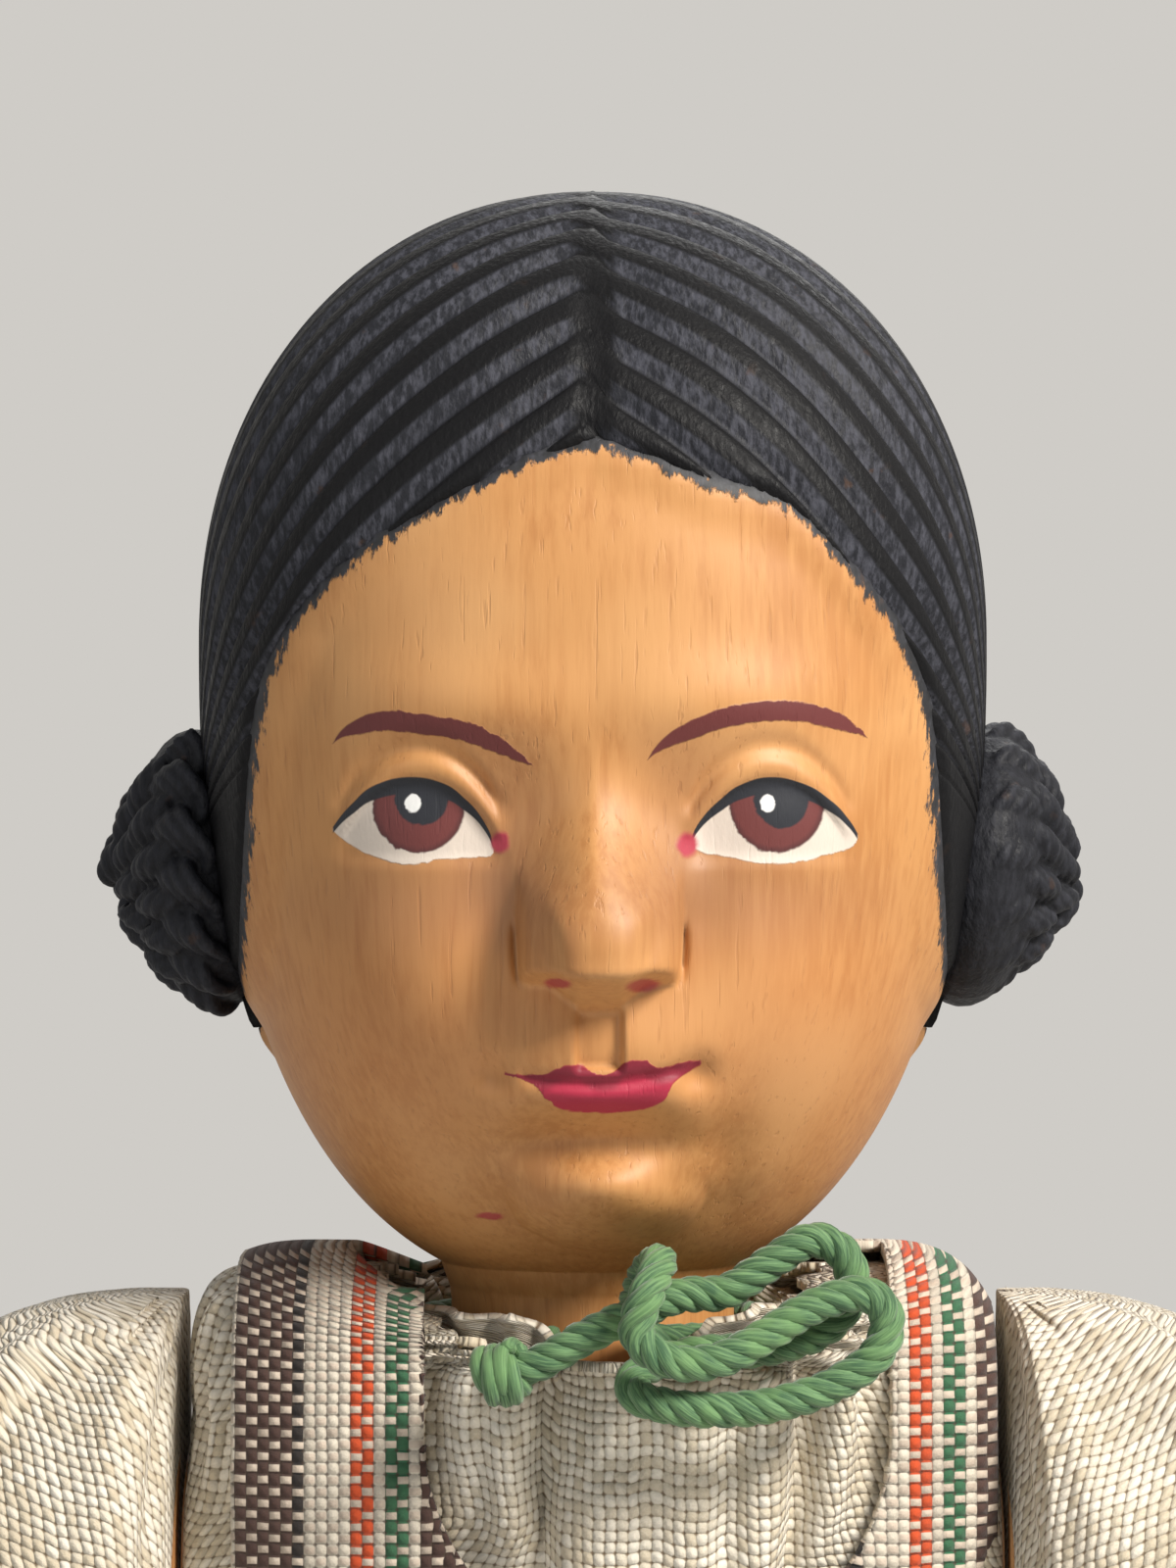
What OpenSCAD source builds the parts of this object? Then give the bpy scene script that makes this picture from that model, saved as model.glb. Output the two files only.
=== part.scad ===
// Carved wooden doll with pegged limbs, a turning head and a linen dress.
// Millimetres. The doll stands on z = 0 and faces -Y, so its left side is at +X.

/* [Head] */
// Width of the head across the hair
head_w = 50; // [47:1:52]
// Depth of the face in front of the neck axis, without the nose
face_d = 25; // [23:0.5:27]
// Depth of the head behind the neck axis
nape_d = 26; // [24:0.5:28]
// Height from the widest level up to the crown
crown_h = 28.6; // [26:0.2:31]
// Height from the widest level down to the underside of the jaw
jaw_h = 41.5; // [39:0.5:44]
// How far the nose stands out of the face
nose_h = 5.6; // [4:0.2:7]
// How far the carved hair stands out of the skin
hair_t = 0.9; // [0.5:0.1:1.2]
// Radius of the coiled plait over each ear
bun_r = 10.4; // [9:0.2:11]
// Radius of the neck
neck_r = 9; // [8:0.25:9.5]
// Height of the jaw above the top of the torso
neck_l = 4; // [3.5:0.25:7]
// Radius of the peg that the head turns on
neck_peg_r = 4; // [3:0.25:5]
// How far that peg reaches into the torso
neck_socket_l = 17; // [12:1:20]
// How far that peg reaches into the neck
neck_bore_l = 14; // [10:1:18]

/* [Torso] */
// Width across the wooden shoulders
shoulder_w = 48; // [46:1:50]
// Depth of the chest
chest_d = 23; // [21:1:25]
// Width of the waist
waist_w = 34; // [31:1:36]
// Depth of the waist
waist_d = 21; // [19:1:23]
// Width of the hip block
hip_w = 42; // [40:1:43]
// Radius of the rounded hip block
hip_r = 12; // [11:0.5:12.5]
// Height from the hip peg to the waist
hip_to_waist = 29; // [27:1:32]
// Height from the hip peg to the seat of the neck
torso_h = 96; // [92:1:100]
// How far the shoulders rise above the seat of the neck
shoulder_rise = 3; // [2:0.25:3.5]

/* [Arms] */
// Depth of the shoulder pegs below the seat of the neck
shoulder_drop = 13; // [12:0.5:14]
// Length from the shoulder peg to the elbow peg
upper_arm_l = 42; // [41:1:46]
// Length from the elbow peg to the wrist
forearm_l = 34; // [30:1:38]
// Length of the hand
hand_l = 17; // [15:1:19]
// Outward slope of the hanging arms, in degrees
arm_slope = 9; // [8:0.5:12]
// Radius of the round elbow
elbow_r = 6; // [5.5:0.25:6.25]
// Radius of the wrist
wrist_r = 3.9; // [3.5:0.1:4.3]
// Radius of the shoulder pegs
shoulder_peg_r = 3; // [2.5:0.25:3.5]

/* [Legs] */
// Distance between the middles of the legs
leg_pitch = 27; // [26:0.5:28]
// Length from the hip peg to the knee pegs
thigh_l = 64; // [62:1:70]
// Height of the knee pegs above the floor
knee_h = 76; // [70:1:80]
// Radius of the thigh at its top
thigh_r = 9.4; // [9:0.1:10]
// Radius of the round knee
knee_r = 8; // [7.5:0.25:8.5]
// Radius of the calf
calf_r = 8.2; // [7.5:0.1:8.6]
// Radius of the ankle
ankle_r = 5.4; // [5:0.1:6]
// Length of the shoe
shoe_l = 42; // [38:1:46]
// Width of the shoe
shoe_w = 17; // [16:1:19]
// Height of the shoe at the ankle
shoe_h = 13; // [11:0.5:15]
// Radius of the pegs in the hips, knees and elbows
pin_r = 1.6; // [1.3:0.05:2]

/* [Dress] */
// Thickness of the cloth with its nap
cloth_t = 1; // [0.8:0.05:1.1]
// Gap between two layers of cloth
layer_gap = 0.4; // [0.3:0.05:0.5]
// Radius of the puffed sleeve from front to back
sleeve_r = 15.5; // [14:0.5:16.5]
// Length of the sleeve down the arm
sleeve_l = 29; // [27:0.5:30]
// Width of the band that closes the sleeve
sleeve_band_w = 4; // [3:0.25:4.5]
// Width of the scooped neck of the bodice
scoop_w = 28; // [24:1:30]
// Depth of the scooped neck below the seat of the neck
scoop_drop = 17; // [14:0.5:20]
// Height of the waistband
waistband_h = 5; // [4:0.5:7]
// Length of the skirt from the waist to the hem
skirt_l = 80; // [74:1:82]
// Half the width of the skirt at the hem
hem_half_w = 33; // [31:0.5:35]
// Half the depth of the skirt at the hem
hem_half_d = 30; // [28:0.5:31]
// Height of the pleats at the hem
pleat_h = 1.6; // [1:0.1:2]
// Number of pleats in each half of the skirt
pleats = 8; // [6:1:10]
// Number of gathers round the neck band
gathers = 16; // [12:1:20]
// Height of the neck band
collar_h = 3; // [2.6:0.1:3.4]
// Thickness of the neck cord
cord_d = 2.2; // [1.8:0.1:2.2]

/* [Hidden] */
$fn = 48;
hull_fn = 24;
hand_fn = 16;

skin_wood = [0.80, 0.55, 0.28];
hair_paint = [0.11, 0.11, 0.12];
peg_wood = [0.72, 0.56, 0.36];
linen = [0.84, 0.79, 0.68];
stripe_cloth = [0.33, 0.23, 0.19];
shoe_paint = [0.16, 0.12, 0.10];
cord_green = [0.28, 0.47, 0.29];

// Clearances: a glued peg, a turning peg, two faces that pass each other, and the overrun of a cut
glue_gap = 0.02;
run_gap = 0.05;
side_gap = 0.3;
cut = 1;

// Levels, from the floor up
hip_z = knee_h + thigh_l;
waist_z = hip_z + hip_to_waist;
neck_z = hip_z + torso_h;
shoulder_z = neck_z - shoulder_drop;
widest_z = neck_z + neck_l + jaw_h;

// Layers of the dress, each outside the last
blouse_in = layer_gap;
blouse_out = blouse_in + cloth_t;
bodice_in = blouse_out + layer_gap;
bodice_out = bodice_in + cloth_t;

// Smooth helpers
function clamp01(t) = max(0, min(1, t));
function smooth(t) = let (c = clamp01(t)) c * c * (3 - 2 * c);
function bell(a, s) = exp(-a * a / (2 * s * s));
function mix(a, b, t) = a + (b - a) * t;
function power(a, p) = a <= 0 ? 0 : pow(a, p);
function signed_power(a, p) = sign(a) * power(abs(a), p);
function total(v) = v * [for (a = v) 1];

// Two triangles for each cell between the rings of n points that start at a and at b
function cells(n, a, b) = [for (i = [0 : n - 1], k = [0, 1]) let (j = (i + 1) % n)
    k == 0 ? [a + i, b + j, b + i] : [a + i, a + j, b + j]];

// Solid through a list of rings, closed at both ends by a fan about the ring's middle
module skin(rings) {
    n = len(rings[0]);
    m = len(rings);
    ends = [for (r = [rings[0], rings[m - 1]]) [for (k = [0 : 2]) total([for (p = r) p[k]]) / n]];
    sides = [for (k = [0 : m - 2]) each cells(n, k * n, (k + 1) * n)];
    lids = [for (i = [0 : n - 1], e = [0, 1]) let (j = (i + 1) % n)
        e == 0 ? [m * n, j, i] : [m * n + 1, (m - 1) * n + i, (m - 1) * n + j]];
    polyhedron(concat([for (r = rings) each r], ends), concat(sides, lids), convexity = 8);
}

// Hollow ring: the rings run down the outside and back up the inside
module hollow_skin(rings) {
    n = len(rings[0]);
    m = len(rings);
    polyhedron([for (r = rings) each r], [for (k = [0 : m - 1]) each cells(n, k * n, ((k + 1) % m) * n)],
        convexity = 8);
}

// Head: a rounded oval at each level, with the features raised on its front.
// Levels are given as shares q of jaw_h below the widest level, so the crown has q below 0
head_sides = 64;
head_rows = 46;
crown_share = 0.38;
crown_power = 2.1;
jaw_power = 2.4;
oval_power = 2.2;
jaw_end = 0.945;
chin_roll = 0.9;
hair_peak_q = -0.29;
hair_temple_q = 0.10;
hair_nape_q = 0.60;
hair_half_w = 20.5;
hair_step = 1.6;
part_depth = 0.8;
part_half_w = 0.7;
nose_top_q = 0.13;
nose_tip_q = 0.475;
nose_root_half = 1.9;
nose_wing_half = 3.1;
nose_under = 0.075;

// Carved forms of the face: distance from the middle, level, half width, half height as a share, rise
face_forms = [
    [7.6, 0.265, 5.0, 0.075, -1.5],
    [10.6, 0.265, 3.2, 0.045, 0.9],
    [5.8, 0.115, 6.0, 0.060, 0.8],
    [12.0, 0.560, 5.0, 0.110, 1.1],
    [0, 0.635, 5.5, 0.070, 1.9],
    [0, 0.665, 3.6, 0.028, 0.9],
    [0, 0.750, 5.0, 0.030, -1.1],
    [0, 0.835, 6.5, 0.085, 3.4]];

function row_q(t) = t < crown_share ? -crown_h / jaw_h * cos(90 * t / crown_share)
    : jaw_end * (t - crown_share) / (1 - crown_share);
function level_size(q) = q < 0 ? power(1 - power(-q * jaw_h / crown_h, crown_power), 1 / crown_power)
    : power(1 - power(q, jaw_power), 1 / jaw_power);
// Turn 0 is the middle of the face, which has closer points than the back of the head
function turn(i) = let (s = i / head_sides) 360 * s - 20 * sin(360 * s);
function hairline(q) = hair_half_w * sin(90 * clamp01((q - hair_peak_q) / (hair_temple_q - hair_peak_q)));
function in_hair(x, q, front) = smooth((hair_nape_q - q) / 0.05)
    * (front ? smooth((abs(x) - hairline(q)) / hair_step + 0.5) : 1);
function nose(x, q) = nose_h * bell(x, mix(nose_root_half, nose_wing_half, smooth((q - 0.25) / 0.2)))
    * power(smooth((q - nose_top_q) / (nose_tip_q - nose_top_q)), 1.4)
    * (1 - smooth((q - nose_tip_q) / nose_under));
function face_relief(x, q) = nose(x, q)
    + total([for (f = face_forms) f[4] * bell(abs(x) - f[0], f[2]) * bell(q - f[1], f[3])]);

function head_point(i, q) = let (
    a = turn(i),
    size = level_size(q),
    front = cos(a) > 0,
    x = head_w / 2 * size * signed_power(sin(a), 2 / oval_power),
    y = -(front ? face_d : nape_d) * size * signed_power(cos(a), 2 / oval_power),
    hair = in_hair(x, q, front),
    part = front ? part_depth * bell(x, part_half_w) * hair : 0,
    out = hair_t * (hair - 1) - part,
    relief = front ? face_relief(x, q) * power(cos(a), 0.7) : 0)
    [x + out * sin(a), y - out * cos(a) - relief, widest_z - q * jaw_h];
function neck_point(i, z) = [neck_r * sin(turn(i)), -neck_r * cos(turn(i)), z];

neck_seat = 1.5;
neck_foot_z = neck_z - neck_seat + side_gap;
chin_z = widest_z - jaw_end * jaw_h - chin_roll;

module head() {
    face = [for (k = [1 : head_rows]) [for (i = [0 : head_sides - 1]) head_point(i, row_q(k / head_rows))]];
    neck = [for (z = [chin_z, neck_foot_z]) [for (i = [0 : head_sides - 1]) neck_point(i, z)]];
    color(skin_wood) difference() {
        skin(concat(face, neck));
        translate([0, 0, neck_foot_z - cut]) cylinder(h = neck_bore_l + cut, r = neck_peg_r);
    }
}

module neck_peg() {
    foot_z = neck_z - neck_seat - neck_socket_l;
    color(peg_wood) translate([0, 0, foot_z])
        cylinder(h = neck_foot_z + neck_bore_l - side_gap - foot_z, r = neck_peg_r - glue_gap);
}

// The plait is wound into a flat coil that lies on the side of the head, over the ear
bun_q = 0.345;
bun_y = 2;
bun_tilt = 8;
bun_seat_r = 60;
bun_gap = 0.5;
plait_r = bun_r * 0.31;

module hair_bun(side) {
    coil_r = bun_r - plait_r;
    seat_x = head_w / 2 * level_size(bun_q);
    color(hair_paint) translate([side * seat_x, bun_y, widest_z - bun_q * jaw_h])
        rotate([0, side * (90 + bun_tilt), 0]) difference() {
            union() {
                rotate_extrude() translate([coil_r, plait_r * 0.55]) circle(plait_r);
                rotate_extrude() translate([coil_r * 0.45, plait_r * 1.15]) circle(plait_r * 0.95);
                translate([0, 0, plait_r * 1.4]) sphere(plait_r * 0.85);
                translate([0, 0, -cut]) cylinder(h = plait_r * 1.5, r = coil_r);
            }
            translate([0, 0, bun_gap - bun_seat_r]) sphere(bun_seat_r);
        }
}

// Torso: the chest and the hip block are carved forms, and each layer of the dress grows them outwards
shoulder_ball_r = 9;
neck_base_r = chest_d / 2;
collar_r = neck_r + 4.6;
neck_well_r = collar_r + 0.6 + side_gap;
boss_r = 7;
boss_x = shoulder_w / 2 + blouse_out + side_gap;
shoulder_socket_l = 13;

module chest_form(grow) {
    waist_r = waist_d / 2 + grow;
    hull() {
        for (sx = [-1, 1], sy = [-1, 1])
            translate([sx * (shoulder_w / 2 - shoulder_ball_r), sy * (chest_d / 2 - shoulder_ball_r),
                neck_z + shoulder_rise - shoulder_ball_r]) sphere(shoulder_ball_r + grow, $fn = hull_fn);
        translate([0, 0, neck_z - cut]) cylinder(h = cut + grow, r = neck_base_r + grow, $fn = hull_fn);
        for (sx = [-1, 1])
            translate([sx * (waist_w - waist_d) / 2, 0, waist_z]) cylinder(h = cut, r = waist_r, $fn = hull_fn);
    }
}

module hip_form() {
    hull() {
        translate([-hip_w / 2, 0, hip_z]) rotate([0, 90, 0]) cylinder(h = hip_w, r = hip_r, $fn = 32);
        for (sx = [-1, 1])
            translate([sx * (waist_w - waist_d) / 2, 0, waist_z])
                cylinder(h = cut, r = waist_d / 2, $fn = hull_fn);
    }
}

// Pegged hinge: a round end of radius r is slotted for a flat tongue that turns on a cross peg
tongue_share = 0.66;
tongue_inset = 0.7;
function tongue_w(r) = r * tongue_share;
function tongue_r(r) = r - tongue_inset;
function slot_w(r) = tongue_w(r) + 2 * side_gap;

module slot(r) {
    w = slot_w(r);
    translate([-w / 2, -2 * r, -2 * r]) cube([w, 4 * r, 2 * r + tongue_r(r) + side_gap]);
}

module cross_bore(half_l, r) {
    translate([-half_l, 0, 0]) rotate([0, 90, 0]) cylinder(h = 2 * half_l, r = r);
}

module fork_cut(r) {
    slot(r);
    cross_bore(2 * r, pin_r);
}

module tongue(r, depth) {
    w = tongue_w(r);
    half_d = tongue_r(r) * 0.8;
    translate([-w / 2, 0, 0]) rotate([0, 90, 0]) cylinder(h = w, r = tongue_r(r));
    translate([-w / 2, -half_d, -depth]) cube([w, 2 * half_d, depth]);
}

module cross_peg(half_l) {
    color(peg_wood) cross_bore(half_l, pin_r - glue_gap);
}

module torso() {
    color(skin_wood) difference() {
        union() {
            chest_form(0);
            hip_form();
            translate([0, 0, shoulder_z]) cross_bore(boss_x, boss_r);
        }
        translate([0, 0, neck_z]) cylinder(h = 2 * shoulder_ball_r, r = neck_well_r);
        translate([0, 0, neck_z - neck_seat]) cylinder(h = neck_seat + cut, r = neck_r + side_gap);
        translate([0, 0, neck_z - neck_seat - neck_socket_l - side_gap])
            cylinder(h = neck_socket_l + side_gap + cut, r = neck_peg_r + run_gap);
        for (sx = [-1, 1]) {
            translate([sx * (boss_x + cut), 0, shoulder_z]) rotate([0, -sx * 90, 0])
                cylinder(h = shoulder_socket_l + side_gap + cut, r = shoulder_peg_r + run_gap);
            translate([sx * leg_pitch / 2, 0, hip_z]) slot(hip_r);
        }
        translate([0, 0, hip_z]) cross_bore(hip_w, pin_r);
    }
}

module hip_peg() {
    translate([0, 0, hip_z]) cross_peg(hip_w / 2 - side_gap);
}

// Arms hang from pegs in the sides of the shoulders and slope outwards
arm_inner_x = boss_x + side_gap;
arm_disc_r = 8;
arm_disc_t = 8;
arm_dome = 4;
arm_r = 5.6;
arm_x = arm_inner_x + arm_disc_t * 0.7;
elbow_x = arm_x + upper_arm_l * sin(arm_slope);
elbow_z = shoulder_z - upper_arm_l * cos(arm_slope);

module at_shoulder(side) {
    translate([side * arm_x, 0, shoulder_z]) rotate([0, -side * arm_slope, 0]) children();
}

module at_elbow(side) {
    translate([side * elbow_x, 0, elbow_z]) rotate([0, -side * arm_slope, 0]) children();
}

module upper_arm(side) {
    color(skin_wood) difference() {
        union() {
            translate([side * arm_inner_x, 0, shoulder_z]) rotate([0, side * 90, 0]) {
                cylinder(h = arm_disc_t, r = arm_disc_r);
                translate([0, 0, arm_disc_t]) intersection() {
                    sphere(arm_disc_r);
                    cylinder(h = arm_dome, r = arm_disc_r);
                }
            }
            at_shoulder(side) translate([0, 0, -upper_arm_l]) {
                cylinder(h = upper_arm_l, r = arm_r);
                sphere(elbow_r);
            }
        }
        translate([side * (arm_inner_x - cut), 0, shoulder_z]) rotate([0, side * 90, 0])
            cylinder(h = arm_disc_t + cut, r = shoulder_peg_r);
        at_elbow(side) fork_cut(elbow_r);
    }
}

module shoulder_peg(side) {
    start_x = boss_x - shoulder_socket_l;
    end_x = arm_inner_x + arm_disc_t - side_gap;
    color(peg_wood) translate([side * start_x, 0, shoulder_z]) rotate([0, side * 90, 0])
        cylinder(h = end_x - start_x, r = shoulder_peg_r - glue_gap);
}

module elbow_peg(side) {
    at_elbow(side) cross_peg(elbow_r - side_gap);
}

// Turned forearm with a mitten hand: flat palm, rounded finger ends and a thumb towards the front
forearm_belly = 12;
palm_r = 2.3;
finger_r = 2;
thumb_r = 1.6;

module hand(side) {
    hull() {
        sphere(wrist_r * 0.95, $fn = hand_fn);
        for (sy = [-1, 1]) {
            translate([0, sy * palm_r * 1.25, -hand_l * 0.4]) sphere(palm_r, $fn = hand_fn);
            translate([0, sy * finger_r * 1.1, finger_r - hand_l]) sphere(finger_r, $fn = hand_fn);
        }
    }
    hull() {
        translate([-side * thumb_r * 0.4, -palm_r, -hand_l * 0.15]) sphere(thumb_r, $fn = hand_fn);
        translate([-side * thumb_r, -palm_r - 2 * thumb_r, -hand_l * 0.5]) sphere(thumb_r, $fn = hand_fn);
    }
}

module forearm(side) {
    top = elbow_r + tongue_inset;
    color(skin_wood) at_elbow(side) difference() {
        union() {
            tongue(elbow_r, top + cut);
            rotate_extrude() polygon([[0, -top], [elbow_r * 0.68, -top], [elbow_r * 0.84, -top - 3],
                [elbow_r * 0.88, -forearm_belly], [wrist_r, -forearm_l], [0, -forearm_l]]);
            translate([0, 0, -forearm_l]) hand(side);
        }
        cross_bore(2 * elbow_r, pin_r + run_gap);
    }
}

// Legs
thigh_top = hip_r + 2.4;

module at_hip(side) {
    translate([side * leg_pitch / 2, 0, hip_z]) children();
}

module at_knee(side) {
    translate([side * leg_pitch / 2, 0, knee_h]) children();
}

module thigh(side) {
    color(skin_wood) difference() {
        union() {
            at_hip(side) tongue(hip_r, thigh_top + cut);
            at_hip(side) rotate_extrude() polygon([[0, -thigh_top], [thigh_r * 0.8, -thigh_top],
                [thigh_r, -thigh_top - 4], [knee_r * 0.95, -thigh_l], [0, -thigh_l]]);
            at_knee(side) sphere(knee_r);
        }
        at_hip(side) cross_bore(2 * hip_r, pin_r + run_gap);
        at_knee(side) fork_cut(knee_r);
    }
}

module knee_peg(side) {
    at_knee(side) cross_peg(knee_r - side_gap);
}

// Turned lower leg in a carved shoe with a flat sole
sole_h = 3;
heel_y = 15;
calf_drop = 16;

module shoe() {
    r = shoe_w / 2;
    heel = [0, heel_y - r, 0];
    toe = [0, heel_y - shoe_l + r, 0];
    hull() for (p = [heel, toe]) translate(p) cylinder(h = sole_h, r = r);
    hull() {
        for (p = [heel, toe]) translate(p) cylinder(h = sole_h, r = r - 0.8, $fn = 32);
        translate([0, heel[1], shoe_h - r * 0.7]) sphere(r * 0.8, $fn = hull_fn);
        translate([0, toe[1], sole_h + r * 0.2]) sphere(r * 0.5, $fn = hull_fn);
        translate([0, 0, shoe_h - cut]) cylinder(h = cut, r = ankle_r + 1, $fn = hull_fn);
    }
}

module lower_leg(side) {
    top = knee_r + tongue_inset;
    foot = shoe_h - 2 * cut - knee_h;
    color(shoe_paint) translate([side * leg_pitch / 2, 0, 0]) shoe();
    color(skin_wood) at_knee(side) difference() {
        union() {
            tongue(knee_r, top + cut);
            rotate_extrude() polygon([[0, -top], [knee_r * 0.7, -top], [knee_r * 0.88, -top - 4],
                [calf_r, -top - calf_drop], [ankle_r, foot + 8], [ankle_r, foot], [0, foot]]);
        }
        cross_bore(2 * knee_r, pin_r + run_gap);
    }
}

// Blouse: one layer of linen over the chest, open at the neck, the arms and the waist
armhole_r = 10;

module dress_layer(inner, outer, foot_z) {
    difference() {
        chest_form(outer);
        chest_form(inner);
        translate([-shoulder_w, -chest_d, waist_z - cut])
            cube([2 * shoulder_w, 2 * chest_d, foot_z - waist_z + cut]);
    }
}

module blouse() {
    color(linen) difference() {
        dress_layer(blouse_in, blouse_out, waist_z + side_gap);
        translate([0, 0, neck_z - neck_seat]) cylinder(h = 2 * shoulder_ball_r, r = neck_well_r);
        translate([0, 0, shoulder_z]) cross_bore(shoulder_w, armhole_r - cut);
    }
}

// Gathered neck band: stands round the neck with the cord inside it, and is slit at the front for the bow
collar_sides = 48;
collar_wave = 0.5;
slit_half_w = 4.5;

function collar_ring(r, z, wave) = [for (i = [0 : collar_sides - 1]) let (a = 360 * i / collar_sides,
    d = r + wave * sin(gathers * a)) [d * cos(a), d * sin(a), z]];

module collar() {
    foot_z = neck_z + side_gap;
    top_z = foot_z + collar_h;
    inner_r = collar_r - cloth_t;
    color(linen) difference() {
        hollow_skin([collar_ring(collar_r, top_z, collar_wave), collar_ring(collar_r, foot_z, 0),
            collar_ring(inner_r, foot_z, 0), collar_ring(inner_r, top_z, collar_wave)]);
        translate([-slit_half_w, -2 * collar_r, foot_z - cut])
            cube([2 * slit_half_w, 2 * collar_r, collar_h + 2 * cut]);
    }
}

// Sleeveless bodice: a scooped neck, which sits a little to one side, and wide armholes leave two straps
scoop_x = shoulder_w * 0.07;
strap_outer_x = shoulder_w / 2 - 1.5;
armhole_drop = 21;

module scoop_outline() {
    r = scoop_w / 2;
    foot = neck_z - scoop_drop + r;
    translate([scoop_x, foot]) circle(r);
    translate([scoop_x - r, foot]) square([scoop_w, 2 * r]);
}

module armhole_outline(side) {
    foot = shoulder_z - armhole_drop;
    top = neck_z + 2 * shoulder_ball_r;
    polygon([[side * strap_outer_x, top], [side * strap_outer_x, neck_z],
        [side * shoulder_w * 0.5, foot + 6], [side * shoulder_w * 0.6, foot],
        [side * shoulder_w, foot], [side * shoulder_w, top]]);
}

module bodice() {
    color(stripe_cloth) difference() {
        dress_layer(bodice_in, bodice_out, waist_z + side_gap + waistband_h);
        rotate([90, 0, 0]) linear_extrude(height = chest_d) scoop_outline();
        translate([0, 0, neck_z - neck_seat]) cylinder(h = 2 * shoulder_ball_r, r = neck_well_r + cut);
        for (side = [-1, 1])
            rotate([90, 0, 0]) linear_extrude(height = 2 * chest_d, center = true) armhole_outline(side);
    }
}

// Waistband: closes the bodice and carries the pleated skirt
module waistband() {
    foot_z = waist_z + side_gap;
    color(stripe_cloth) intersection() {
        dress_layer(bodice_in, bodice_out, foot_z);
        translate([-shoulder_w, -chest_d, foot_z]) cube([2 * shoulder_w, 2 * chest_d, waistband_h - side_gap]);
    }
}

// Puffed sleeve: closed over the shoulder, open to the arm at its inner side and drawn into a band below
sleeve_sides = 32;
sleeve_rows = 11;
sleeve_gathers = 8;
sleeve_wave = 0.5;
sleeve_power = 0.7;
sleeve_top_z = neck_z + 4;
sleeve_foot_z = shoulder_z - sleeve_l * cos(arm_slope);
sleeve_foot_x = arm_x + sleeve_l * sin(arm_slope);
sleeve_inner_x = boss_x;
sleeve_half_w = 11.4;
band_in_r = arm_r + side_gap;
band_out_r = band_in_r + 1.2;
first_row = 0.06;

// Angle of a row, from the top of the puff down to the band
sleeve_foot_angle = 180 - asin(power(band_out_r / sleeve_r, 1 / sleeve_power));

function sleeve_ring(side, t, inset) = let (
    angle = sleeve_foot_angle * t,
    fall = (1 - cos(angle)) / (1 - cos(sleeve_foot_angle)),
    fullness = power(sin(angle), sleeve_power),
    draw_in = smooth(fall * 2 - 1),
    full_w = mix(sleeve_half_w * fullness, band_out_r, draw_in),
    half_w = full_w - inset,
    cx = mix(sleeve_inner_x + side_gap + sleeve_wave + full_w, sleeve_foot_x, draw_in),
    half_d = sleeve_r * fullness - inset,
    z = mix(sleeve_top_z - inset, sleeve_foot_z, fall),
    wave = sleeve_wave * smooth(t * 3) * smooth((1 - t) * 4))
    [for (i = [0 : sleeve_sides - 1]) let (a = 360 * i / sleeve_sides, w = wave * cos(sleeve_gathers * a),
        u = (half_w + w) * signed_power(cos(a), 0.8), v = (half_d + w) * signed_power(sin(a), 0.8))
        [side * (cx + u), side * v, z + u * tan(arm_slope) * draw_in]];

module sleeve(side) {
    rows = [for (k = [0 : sleeve_rows]) mix(first_row, 1, k / sleeve_rows)];
    outer = [for (t = rows) sleeve_ring(side, t, 0)];
    inner = [for (k = [sleeve_rows : -1 : 0]) sleeve_ring(side, rows[k] + first_row * (1 - rows[k]), cloth_t)];
    color(linen) difference() {
        skin(concat(outer, inner));
        translate([side * (sleeve_inner_x - cut), 0, shoulder_z]) rotate([0, side * 90, 0])
            cylinder(h = sleeve_half_w * 0.6, r = armhole_r);
    }
}

module sleeve_band(side) {
    color(linen) at_shoulder(side) translate([0, 0, -sleeve_l - side_gap - sleeve_band_w]) difference() {
        cylinder(h = sleeve_band_w, r = band_out_r);
        translate([0, 0, -cut]) cylinder(h = sleeve_band_w + 2 * cut, r = band_in_r);
    }
}

// Divided skirt: each half hangs in pleats from the waistband and has its own wall between the legs
skirt_cols = 40;
skirt_rows = 8;
half_gap = 0.4;
skirt_power = 0.62;
crotch_z = hip_z - thigh_top;

function skirt_half_w(f) = mix(waist_w / 2 + bodice_out, hem_half_w, power(f, skirt_power));
function skirt_half_d(f) = mix(waist_d / 2 + bodice_out, hem_half_d, power(f, skirt_power));
function skirt_point(side, f, i, inset) = let (
    a = 180 * i / skirt_cols,
    wave = pleat_h * smooth(f * 1.6) * -cos(360 * pleats * i / skirt_cols),
    x = max(half_gap, (skirt_half_w(f) + wave - inset) * power(sin(a), 0.85)),
    y = -(skirt_half_d(f) + wave - inset) * signed_power(cos(a), 0.95))
    [side * x, side * y, waist_z - skirt_l * f];
function skirt_ring(side, f) = concat([for (i = [0 : skirt_cols]) skirt_point(side, f, i, 0)],
    [for (i = [skirt_cols : -1 : 0]) skirt_point(side, f, i, cloth_t)]);

module skirt_shell(side) {
    rings = [for (k = [0 : skirt_rows]) skirt_ring(side, k / skirt_rows)];
    n = len(rings[0]);
    last = skirt_rows * n;
    sides = [for (k = [0 : skirt_rows - 1]) each cells(n, k * n, (k + 1) * n)];
    hems = [for (i = [0 : skirt_cols - 1]) let (a = i, b = i + 1, c = n - 2 - i, d = n - 1 - i)
        each [[a, c, b], [a, d, c], [last + a, last + b, last + c], [last + a, last + c, last + d]]];
    polyhedron([for (r = rings) each r], concat(sides, hems), convexity = 8);
}

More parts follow.
